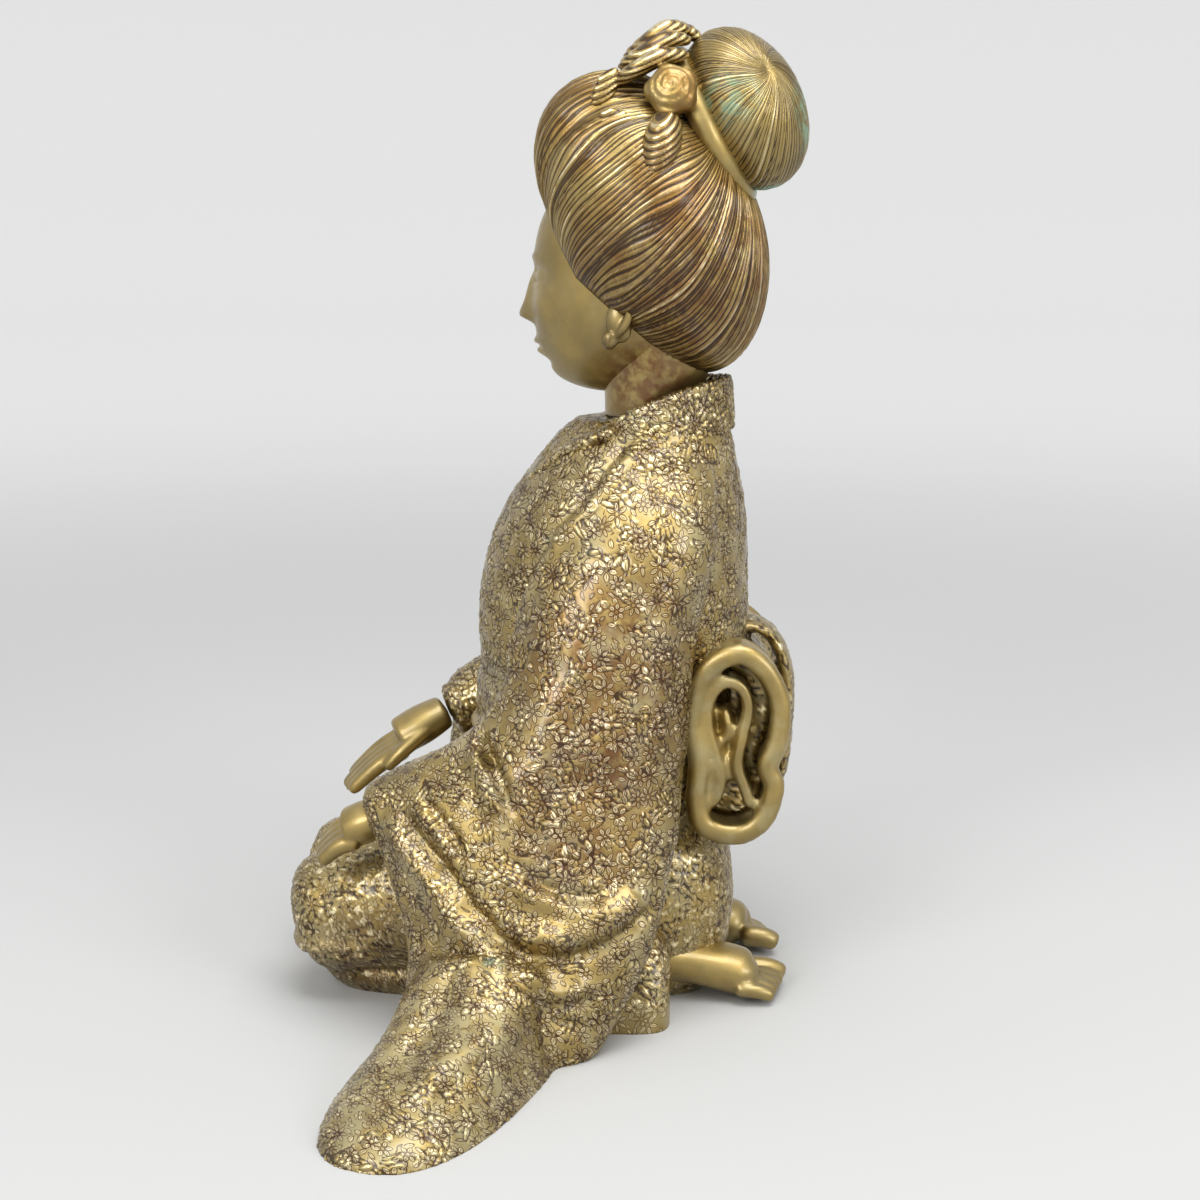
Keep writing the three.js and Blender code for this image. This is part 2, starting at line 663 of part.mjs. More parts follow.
const material = new THREE.MeshStandardMaterial({ color: 0x8f7a3c, metalness: 1, roughness: 0.45 });
material.name = 'aged_bronze';
const statue = new THREE.Mesh(toGeometry(casting), material);
statue.name = 'kneeling_geisha';

const figure = new THREE.Group();
figure.add(statue);
export default figure;
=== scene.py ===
import math
import random

import bmesh
import bpy
import numpy as np
from mathutils import Matrix, Vector
from mathutils.kdtree import KDTree


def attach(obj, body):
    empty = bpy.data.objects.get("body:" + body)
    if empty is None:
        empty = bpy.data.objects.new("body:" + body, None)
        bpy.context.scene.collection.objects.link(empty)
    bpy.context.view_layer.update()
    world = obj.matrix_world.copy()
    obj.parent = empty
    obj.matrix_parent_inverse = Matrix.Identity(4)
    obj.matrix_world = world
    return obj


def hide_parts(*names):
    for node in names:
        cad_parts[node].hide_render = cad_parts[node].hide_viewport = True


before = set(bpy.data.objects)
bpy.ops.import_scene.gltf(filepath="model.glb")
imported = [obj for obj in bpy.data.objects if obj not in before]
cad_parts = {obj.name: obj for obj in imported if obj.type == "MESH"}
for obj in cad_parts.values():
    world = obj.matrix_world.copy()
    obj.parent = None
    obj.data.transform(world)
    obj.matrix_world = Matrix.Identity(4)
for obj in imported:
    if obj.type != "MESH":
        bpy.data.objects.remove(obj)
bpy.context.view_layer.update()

# Kneeling figure in cast bronze. Lengths are millimetres while a piece is shaped and
# metres once it is an object. The figure faces -Y, its left side is +X, the floor is z 0.
toMetres = 0.001
fullTurn = 2 * math.pi


# shaping

# smooth run through rows of values, share goes from 0 to 1
def smoothRun(values, share):
    rows = np.array(values, float)
    place = np.clip(share, 0, 1) * (len(rows) - 1)
    low = np.clip(place.astype(int), 0, len(rows) - 2)
    part = (place - low)[:, None]
    before = rows[np.maximum(low - 1, 0)]
    here = rows[low]
    after = rows[low + 1]
    beyond = rows[np.minimum(low + 2, len(rows) - 1)]
    bend = 2 * before - 5 * here + 4 * after - beyond
    twist = 3 * here - before - 3 * after + beyond
    return 0.5 * (2 * here + (after - before) * part + bend * part ** 2 + twist * part ** 3)


def lengths(vectors):
    return np.sqrt((vectors ** 2).sum(1))[:, None]


def smoothStep(x):
    x = np.clip(x, 0, 1)
    return x * x * (3 - 2 * x)


def hill(x):
    return np.exp(-x ** 2)


# a closed skin: a ball whose points are moved by their share of the way and turn
def addLoft(bm, sides, rings, place):
    made = bmesh.ops.create_uvsphere(bm, u_segments=sides, v_segments=rings, radius=1)["verts"]
    unit = np.array([vert.co for vert in made])
    share = np.arccos(np.clip(-unit[:, 2], -1, 1)) / math.pi
    turn = np.arctan2(unit[:, 1], unit[:, 0])
    for vert, spot in zip(made, place(share, turn)):
        vert.co = spot
    return made


# level rings, each with its height, middle, half sizes, turn and squareness
def stack(levels, swell=None):
    keys = [
        [level["z"], level.get("x", 0), level["y"], level["wide"], level["deep"],
         level.get("turn", 0), level.get("square", 1)]
        for level in levels
    ]

    def place(share, turn):
        z, x, y, wide, deep, bend, square = smoothRun(keys, share).T
        isOpen = np.where((share < 1e-4) | (share > 1 - 1e-4), 0, 1)
        extra = swell(share, turn) if swell else 0
        c, s = np.cos(turn), np.sin(turn)
        across = np.sign(c) * np.abs(c) ** square * (wide + extra) * isOpen
        along = np.sign(s) * np.abs(s) ** square * (deep + extra) * isOpen
        return np.column_stack([
            x + across * np.cos(bend) - along * np.sin(bend),
            y + across * np.sin(bend) + along * np.cos(bend),
            z,
        ])
    return place


# round limb along a path with rounded ends, flat is its rise over its width
def limb(points, radii, flat=1, up=(0, 0, 1), tip=0.12):
    keys = [[*point, radius] for point, radius in zip(points, radii)]

    def place(share, turn):
        here = smoothRun(keys, share)
        ahead = smoothRun(keys, share + 0.02)[:, :3] - smoothRun(keys, share - 0.02)[:, :3]
        ahead /= np.maximum(lengths(ahead), 1e-9)
        side = np.cross(ahead, np.array(up, float))
        side /= np.maximum(lengths(side), 1e-9)
        rise = np.cross(side, ahead)
        end = np.clip(np.minimum(share, 1 - share) / tip, 0, 1)
        size = (here[:, 3] * np.sqrt(1 - (1 - end) ** 2))[:, None]
        return here[:, :3] + side * size * np.cos(turn)[:, None] + rise * size * flat * np.sin(turn)[:, None]
    return place


def ball(centre, half, turnX=0, turnZ=0):
    tilt = np.array(Matrix.Rotation(turnZ, 3, "Z") @ Matrix.Rotation(turnX, 3, "X"))

    def place(share, turn):
        polar = share * math.pi
        unit = np.column_stack([np.sin(polar) * np.cos(turn), np.sin(polar) * np.sin(turn), -np.cos(polar)])
        return np.array(centre) + (unit * np.array(half)) @ tilt.T
    return place


# one skin round all the closed shapes in bm, then softened
def fuse(bm, voxel, softening):
    mesh = bpy.data.meshes.new("shape")
    bmesh.ops.recalc_face_normals(bm, faces=bm.faces)
    bm.to_mesh(mesh)
    bm.free()
    shape = bpy.data.objects.new("shape", mesh)
    bpy.context.scene.collection.objects.link(shape)
    remesh = shape.modifiers.new("fuse", "REMESH")
    remesh.mode = "VOXEL"
    remesh.voxel_size = voxel
    soften = shape.modifiers.new("soften", "SMOOTH")
    soften.factor = 0.5
    soften.iterations = softening
    bpy.context.view_layer.update()
    evaluated = shape.evaluated_get(bpy.context.evaluated_depsgraph_get())
    fused = bpy.data.meshes.new_from_object(evaluated)
    bpy.data.objects.remove(shape)
    bpy.data.meshes.remove(mesh)
    return fused


# takes away what lies below the floor and closes the cut
def cutAtFloor(bm):
    geometry = list(bm.verts) + list(bm.edges) + list(bm.faces)
    bmesh.ops.bisect_plane(bm, geom=geometry, plane_co=(0, 0, 0), plane_no=(0, 0, 1), clear_inner=True)
    closeHoles(bm)


def closeHoles(bm):
    edges = [edge for edge in bm.edges if edge.is_boundary]
    if edges:
        filled = bmesh.ops.holes_fill(bm, edges=edges, sides=0)["faces"]
        bmesh.ops.triangulate(bm, faces=filled)


def readSpots(mesh):
    spots = np.empty(len(mesh.vertices) * 3, np.float32)
    mesh.vertices.foreach_get("co", spots)
    return spots.reshape(-1, 3).astype(float)


def readNormals(mesh):
    normals = np.empty(len(mesh.vertices) * 3, np.float32)
    mesh.vertex_normals.foreach_get("vector", normals)
    return normals.reshape(-1, 3).astype(float)


def writeSpots(mesh, spots):
    mesh.vertices.foreach_set("co", spots.astype(np.float32).ravel())
    mesh.update()


def finder(spots):
    tree = KDTree(len(spots))
    for index, spot in enumerate(spots):
        tree.insert(spot, index)
    tree.balance()
    return tree


# places on the cloth in flat millimetres: round the figure, and down it then out along the floor
def layFlat(mesh, spots, centreY, foldAt):
    x, y, z = np.abs(spots[:, 0]), spots[:, 1] - centreY, spots[:, 2]
    far = np.hypot(x, y)
    around = np.arctan2(y, x) * np.maximum(far, 40)
    down = z - 0.9 * np.maximum(0, far - foldAt)
    layer = mesh.attributes.new("cloth", "FLOAT_VECTOR", "POINT")
    places = np.column_stack([around, down, np.zeros(len(x))])
    layer.data.foreach_set("vector", places.astype(np.float32).ravel())


# a finished mesh becomes a piece of the object
def addPiece(name, mesh, material, relief=None, foldAt=None):
    if foldAt is not None:
        layFlat(mesh, readSpots(mesh), *foldAt)
    if relief is not None:
        layer = mesh.attributes.new("relief", "FLOAT", "POINT")
        layer.data.foreach_set("value", np.asarray(relief, np.float32))
    mesh.transform(Matrix.Scale(toMetres, 4))
    mesh.name = name
    mesh.materials.clear()
    mesh.materials.append(material)
    mesh.shade_smooth()
    piece = bpy.data.objects.new(name, mesh)
    bpy.context.scene.collection.objects.link(piece)
    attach(piece, "root")
    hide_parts("kneeling_geisha")
    mesh.calc_loop_triangles()
    print("piece", name, len(mesh.loop_triangles), "triangles")
    return piece


# folds

# pushes the skin in or out along lines that follow it
def foldSkin(spots, normals, tree, folds):
    push = np.zeros(len(spots))
    for fold in folds:
        line = smoothRun(fold["line"], np.linspace(0, 1, 9 * len(fold["line"])))
        line = np.array([tree.find(spot)[0] for spot in line])
        line = smoothRun(line[::3], np.linspace(0, 1, 6 * len(fold["line"])))
        wide = fold["wide"]
        reach = wide * 4
        inside = np.all((spots > line.min(0) - reach) & (spots < line.max(0) + reach), axis=1)
        near = np.nonzero(inside)[0]
        gap = np.full(len(near), 1e6)
        side = np.zeros(len(near))
        along = np.zeros(len(near))
        for step in range(len(line) - 1):
            span = line[step + 1] - line[step]
            square = max(float(span @ span), 1e-9)
            part = np.clip((spots[near] - line[step]) @ span / square, 0, 1)
            off = spots[near] - line[step] - part[:, None] * span
            distance = np.sqrt((off ** 2).sum(1))
            closer = distance < gap
            turned = (np.cross(span, off) * normals[near]).sum(1)
            gap[closer] = distance[closer]
            side[closer] = np.sign(turned[closer])
            along[closer] = ((step + part) / (len(line) - 1))[closer]
        signed = gap * side / wide
        fade = smoothStep(along / fold.get("fadeIn", 0.25))
        fade = fade * smoothStep((1 - along) / fold.get("fadeOut", 0.25))
        if fold["kind"] == "valley":
            height = -hill(signed)
        elif fold["kind"] == "ridge":
            height = hill(signed)
        else:
            height = hill((signed - 1.1) / 1.3) - hill((signed + 0.35) / 0.75)
        push[near] += height * fade * fold["deep"]
    return spots + normals * push[:, None]


# cast relief of flowers and leaves

def drawOver(layer, height, cover):
    layer[0] = layer[0] * (1 - cover) + height * cover
    layer[1] = np.maximum(layer[1], cover)


def drawPetal(layer, u, v, x, y, heading, long, wide, chance=None):
    if chance:
        if chance.random() < 0.1:
            return
        heading += chance.uniform(-0.2, 0.2)
        long *= chance.uniform(0.75, 1.2)
        wide *= chance.uniform(0.75, 1.2)
    c, s = math.cos(heading), math.sin(heading)
    along = (u - x) * c + (v - y) * s
    across = (v - y) * c - (u - x) * s
    # broad near the stalk, pointed at the tip
    girth = wide * (1 - 0.3 * np.clip(along / long, -1, 1))
    edge = (1 - np.sqrt((along / long) ** 2 + (across / girth) ** 2)) * wide
    body = smoothStep(edge / 0.55 + 0.35)
    vein = hill(across / 0.28) * smoothStep((0.8 * long - np.abs(along)) / 0.6)
    height = body * (1 - 0.8 * vein) - 0.8 * hill((edge + 0.5) / 0.36)
    drawOver(layer, height, smoothStep((edge + 0.95) / 0.4))


def drawRing(layer, u, v, x, y, radius):
    far = np.hypot(u - x, v - y)
    height = hill((far - radius) / 0.42) + 0.9 * hill(far / 0.45) - 0.6 * hill((far - radius - 0.85) / 0.35)
    drawOver(layer, height, smoothStep((radius + 1.3 - far) / 0.4))


# a raised arc with a cut line beside it
def drawArc(layer, u, v, x, y, radius, middle, spread):
    far = np.hypot(u - x, v - y)
    turn = (np.arctan2(v - y, u - x) - middle + math.pi) % fullTurn - math.pi
    shown = smoothStep((spread - np.abs(turn)) * radius / 0.8)
    height = hill((far - radius) / 0.42) - 0.8 * hill((far - radius - 0.85) / 0.34)
    drawOver(layer, height, shown * smoothStep((1.25 - np.abs(far - radius - 0.2)) / 0.4))


def drawDaisy(layer, u, v, chance):
    petals = chance.randint(6, 9)
    size = chance.uniform(0.8, 1.15)
    reach = 3.5 * size
    for petal in range(petals):
        heading = petal / petals * fullTurn
        x, y = math.cos(heading) * reach, math.sin(heading) * reach
        drawPetal(layer, u, v, x, y, heading, 2.3 * size, 0.9 * size, chance)
    drawRing(layer, u, v, 0, 0, 0.9)


def drawFan(layer, u, v, chance):
    petals = chance.randint(5, 9)
    spread = chance.uniform(2.6, 4.2)
    for petal in range(petals):
        heading = (petal / (petals - 1) - 0.5) * spread
        x, y = math.cos(heading) * 3.6 - 1.5, math.sin(heading) * 3.6
        drawPetal(layer, u, v, x, y, heading, 2.6, 0.75, chance)
    drawRing(layer, u, v, -1.5, 0, 0.7)


def drawBlossom(layer, u, v, chance):
    for petal in range(5):
        heading = petal / 5 * fullTurn
        drawPetal(layer, u, v, math.cos(heading) * 2.3, math.sin(heading) * 2.3, heading, 1.6, 1.3, chance)
    drawRing(layer, u, v, 0, 0, 0.6)


def drawLeaves(layer, u, v, chance):
    lean = chance.uniform(0.4, 0.9)
    long = chance.uniform(2.0, 3.2)
    wide = chance.uniform(0.8, 1.3)
    drawPetal(layer, u, v, 1.6, 1.8, lean, long, wide, chance)
    drawPetal(layer, u, v, 1.6, -1.8, -lean, long, wide, chance)
    if chance.random() < 0.6:
        drawPetal(layer, u, v, 4.2, 0, 0, long * 0.8, wide, chance)
    if chance.random() < 0.5:
        drawArc(layer, u, v, -1, 4, 3.9, -1.2, 0.7)


def drawBars(layer, u, v, chance):
    bars = chance.randint(2, 4)
    for bar in range(bars):
        drawPetal(layer, u, v, chance.uniform(-0.9, 0.9), (bar - (bars - 1) / 2) * 1.7, 0, 2.9, 0.7, chance)


def drawCurl(layer, u, v, chance):
    turn = np.arctan2(v, u) % fullTurn
    far = np.hypot(u, v)
    wind = far - 0.5 - turn / fullTurn * 1.8
    line = hill(wind / 0.42) + hill((wind - 1.8) / 0.42) * (far < 3.1)
    trough = hill((wind - 0.9) / 0.4)
    drawOver(layer, line - 0.7 * trough * (1 - line), smoothStep((3.3 - far) / 0.5))


def drawScribble(layer, u, v, chance):
    for stroke in range(chance.randint(2, 4)):
        radius = chance.uniform(1.2, 3.2)
        middle = chance.uniform(-3.1, 3.1)
        x = chance.uniform(-1.5, 1.5) - math.cos(middle) * radius
        y = chance.uniform(-1.5, 1.5) - math.sin(middle) * radius
        drawArc(layer, u, v, x, y, radius, middle, chance.uniform(0.5, 1.1))


def drawRings(layer, u, v, chance):
    drawRing(layer, u, v, 0, 0, chance.uniform(0.8, 1.4))
    if chance.random() < 0.5:
        drawRing(layer, u, v, 2.9, 0.4, 0.7)


motifs = {
    "daisy": {"draw": drawDaisy, "reach": 7.6},
    "fan": {"draw": drawFan, "reach": 7.4},
    "blossom": {"draw": drawBlossom, "reach": 5.4},
    "leaves": {"draw": drawLeaves, "reach": 7.6},
    "bars": {"draw": drawBars, "reach": 5.0},
    "curl": {"draw": drawCurl, "reach": 4.2},
    "rings": {"draw": drawRings, "reach": 5.0},
    "scribble": {"draw": drawScribble, "reach": 4.6},
}


# centres no closer to each other than the spacing
def scatter(spots, spacing, tries, chance):
    taken = {}
    centres = []
    for index in [chance.randrange(len(spots)) for _ in range(tries)]:
        spot = spots[index]
        cell = tuple(int(math.floor(value / spacing)) for value in spot)
        close = False
        for dx in (-1, 0, 1):
            for dy in (-1, 0, 1):
                for dz in (-1, 0, 1):
                    for other in taken.get((cell[0] + dx, cell[1] + dy, cell[2] + dz), ()):
                        if ((spots[other] - spot) ** 2).sum() < spacing ** 2:
                            close = True
        if not close:
            taken.setdefault(cell, []).append(index)
            centres.append(index)
    return centres


def stamp(height, spots, normals, tree, index, motif, chance, heading=None):
    normal = normals[index]
    side = np.cross(normal, (0.31, 0.47, 0.83))
    side /= np.sqrt(side @ side)
    other = np.cross(normal, side)
    turn = chance.uniform(0, fullTurn)
    if heading is not None:
        turn = math.atan2(float(heading @ other), float(heading @ side))
    c, s = math.cos(turn), math.sin(turn)
    found = tree.find_range(spots[index], motif["reach"])
    near = np.array([row[1] for row in found])
    near = near[normals[near] @ normal > 0.25]
    off = spots[near] - spots[index]
    u0 = off @ side
    v0 = off @ other
    layer = [height[near], np.zeros(len(near))]
    motif["draw"](layer, u0 * c + v0 * s, v0 * c - u0 * s, chance)
    height[near] = layer[0]


# a stem walks over the skin and carries leaves along its length
def growStem(height, spots, normals, tree, index, steps, chance):
    stride = 1.1
    spot = spots[index].copy()
    normal = normals[index]
    heading = np.cross(normal, (chance.uniform(-1, 1), chance.uniform(-1, 1), chance.uniform(-1, 1)))
    heading /= max(np.sqrt(heading @ heading), 1e-6)
    bend = chance.uniform(-0.09, 0.09)
    path = []
    ends = []
    for step in range(steps):
        side = np.cross(normal, heading)
        heading = heading + side * bend
        heading -= normal * (heading @ normal)
        heading /= max(np.sqrt(heading @ heading), 1e-6)
        _, near, _ = tree.find(spot + heading * stride)
        normal = normals[near]
        moved = spot + heading * stride
        spot = moved - normal * ((moved - spots[near]) @ normal)
        path.append(spot)
        if step % 6 == 4:
            ends.append((near, heading * 0.75 + side * (0.7 if step % 12 == 4 else -0.7)))
    gaps = {}
    for spot in path:
        for _, near, distance in tree.find_range(spot, 1.6):
            gaps[near] = min(gaps.get(near, 9), distance)
    near = np.array(list(gaps))
    gap = np.array([gaps[index] for index in near])
    layer = [height[near], np.zeros(len(near))]
    drawOver(layer, hill(gap / 0.42) - 0.7 * hill((gap - 0.85) / 0.35), smoothStep((1.4 - gap) / 0.4))
    height[near] = layer[0]
    for near, lean in ends:
        stamp(height, spots, normals, tree, near, {"draw": drawSprig, "reach": 4.6}, chance, lean)


def drawSprig(layer, u, v, chance):
    drawPetal(layer, u, v, 1.8, 0, 0, chance.uniform(1.5, 2.2), 0.85, chance)


def castRelief(spots, normals, tree, plan, seed):
    chance = random.Random(seed)
    height = np.zeros(len(spots))
    for kinds, spacing in plan["fill"]:
        for index in scatter(spots, spacing, plan["tries"], chance):
            stamp(height, spots, normals, tree, index, motifs[chance.choice(kinds)], chance)
    for index in scatter(spots, plan["stemSpacing"], plan["tries"] // 3, chance):
        growStem(height, spots, normals, tree, index, chance.randint(14, 30), chance)
    for kinds, spacing in plan["flowers"]:
        for index in scatter(spots, spacing, plan["tries"], chance):
            stamp(height, spots, normals, tree, index, motifs[chance.choice(kinds)], chance)
    return height


# materials

def linear(code):
    parts = [int(code[start:start + 2], 16) / 255 for start in (1, 3, 5)]
    return tuple(((p + 0.055) / 1.055) ** 2.4 if p > 0.04045 else p / 12.92 for p in parts) + (1.0,)


def addNode(tree, kind, inputs=None, **settings):
    node = tree.nodes.new("ShaderNode" + kind)
    for key, value in settings.items():
        setattr(node, key, value)
    for key, value in (inputs or {}).items():
        if isinstance(value, bpy.types.NodeSocket):
            tree.links.new(value, node.inputs[key])
        else:
            node.inputs[key].default_value = value
    return node


# noise scale whose features are about this many millimetres
def sizedFor(millimetres):
    return 1 / (millimetres * toMetres)


bronze = {
    "base": "#a38c52",        # worn golden olive of the raised cloth
    "paintedHighlight": "#efdfb4",      # painted highlight on the raised tops of the relief
    "waxAndShade": "#2e1a10",      # deep red-brown wax in the engraved lines, also the colour of the painted shade on the jaw
    "cut": "#43230f",         # wax in the fine cut lines
    "warm": "#6b4426",        # red-brown areas on the middle of the sleeve
    "dust": "#a3a283",        # pale grey-green dust in the ground
    "verdigris": "#6aa08a",   # blue-green corrosion
}


# fine flowers and leaves cut into the cloth, drawn in millimetres laid flat on it
def chasedPattern(tree, calc, ramp):
    cloth = addNode(tree, "Attribute", attribute_name="cloth").outputs["Vector"]

    def cells(size, offset):
        step = (offset, offset * 0.7, 0)
        moved = addNode(tree, "VectorMath", {0: cloth, 1: step}, operation="ADD").outputs[0]
        inputs = {"Vector": moved, "Scale": 1 / size, "Randomness": 0.85}
        found = addNode(tree, "TexVoronoi", inputs, voronoi_dimensions="2D")
        middle = found.outputs["Position"]
        away = addNode(tree, "VectorMath", {0: moved, 1: middle}, operation="SUBTRACT").outputs[0]
        local = addNode(tree, "SeparateXYZ", {0: away})
        drawn = addNode(tree, "SeparateColor", {0: found.outputs["Color"]})
        return local.outputs[0], local.outputs[1], drawn.outputs[0], drawn.outputs[1], drawn.outputs[2]

    def line(value, thin):
        return ramp(calc("ABSOLUTE", value), thin, thin * 0.45)

    # flowers: petals round a ring
    x, y, spin, count, size = cells(9.5, 0)
    far = calc("SQRT", calc("ADD", calc("MULTIPLY", x, x), calc("MULTIPLY", y, y)))
    turn = calc("MULTIPLY_ADD", spin, fullTurn, calc("ARCTAN2", y, x))
    petals = calc("ROUND", calc("MULTIPLY_ADD", count, 3.0, 5.0))
    share = calc("SUBTRACT", calc("FRACT", calc("DIVIDE", calc("MULTIPLY", turn, petals), fullTurn)), 0.5)
    arc = calc("MULTIPLY", calc("MULTIPLY", share, far), fullTurn)
    across = calc("ABSOLUTE", calc("DIVIDE", arc, petals))
    reach = calc("MULTIPLY_ADD", size, 1.6, 3.2)
    along = calc("DIVIDE", calc("SUBTRACT", far, 1.1), calc("SUBTRACT", reach, 1.1))
    inPetal = calc("MULTIPLY", calc("GREATER_THAN", along, 0.0), calc("LESS_THAN", along, 1.0))
    swell = calc("SINE", calc("MULTIPLY", calc("MAXIMUM", calc("MINIMUM", along, 1.0), 0.0), math.pi))
    girth = calc("MULTIPLY", calc("POWER", calc("MAXIMUM", swell, 0.0), 0.7), calc("DIVIDE", 5.6, petals))
    edge = calc("SUBTRACT", across, girth)
    body = calc("MULTIPLY", ramp(edge, 0.0, -0.4), inPetal)
    outline = calc("MULTIPLY", line(edge, 0.34), ramp(far, 5.2, 4.6))
    outline = calc("MULTIPLY", outline, calc("MULTIPLY", ramp(along, -0.1, 0.0), ramp(along, 1.1, 1.0)))
    vein = calc("MULTIPLY", line(across, 0.2), calc("MULTIPLY", ramp(along, 0.1, 0.3), ramp(along, 0.8, 0.6)))
    heart = line(calc("SUBTRACT", far, 0.85), 0.3)
    flowerCut = calc("MAXIMUM", calc("MAXIMUM", outline, vein), heart)
    inFlower = ramp(calc("SUBTRACT", far, reach), 0.5, 0.2)

    # leaves: one pointed shape to each small cell
    x, y, spin, bent, size = cells(4.3, 31)
    turn = calc("MULTIPLY", spin, fullTurn)
    c, s = calc("COSINE", turn), calc("SINE", turn)
    along = calc("ADD", calc("MULTIPLY", x, c), calc("MULTIPLY", y, s))
    across = calc("SUBTRACT", calc("MULTIPLY", y, c), calc("MULTIPLY", x, s))
    bow = calc("MULTIPLY", calc("MULTIPLY", along, along), calc("MULTIPLY_ADD", bent, 0.3, -0.15))
    across = calc("ADD", across, bow)
    long = calc("MULTIPLY_ADD", size, 0.9, 1.5)
    end = calc("DIVIDE", calc("MULTIPLY", along, along), calc("MULTIPLY", long, long))
    girth = calc("MULTIPLY", calc("SUBTRACT", 1.0, end), calc("MULTIPLY_ADD", bent, 0.6, 0.55))
    edge = calc("SUBTRACT", calc("ABSOLUTE", across), girth)
    within = ramp(end, 1.25, 1.0)
    leaf = calc("MULTIPLY", ramp(edge, 0.0, -0.35), within)
    leafCut = calc("MULTIPLY", calc("MAXIMUM", line(edge, 0.3), line(across, 0.16)), within)

    ground = calc("SUBTRACT", 1.0, inFlower)
    raised = calc("ADD", calc("MULTIPLY", body, inFlower), calc("MULTIPLY", leaf, ground))
    cut = calc("ADD", calc("MULTIPLY", flowerCut, inFlower), calc("MULTIPLY", leafCut, ground))
    return raised, cut


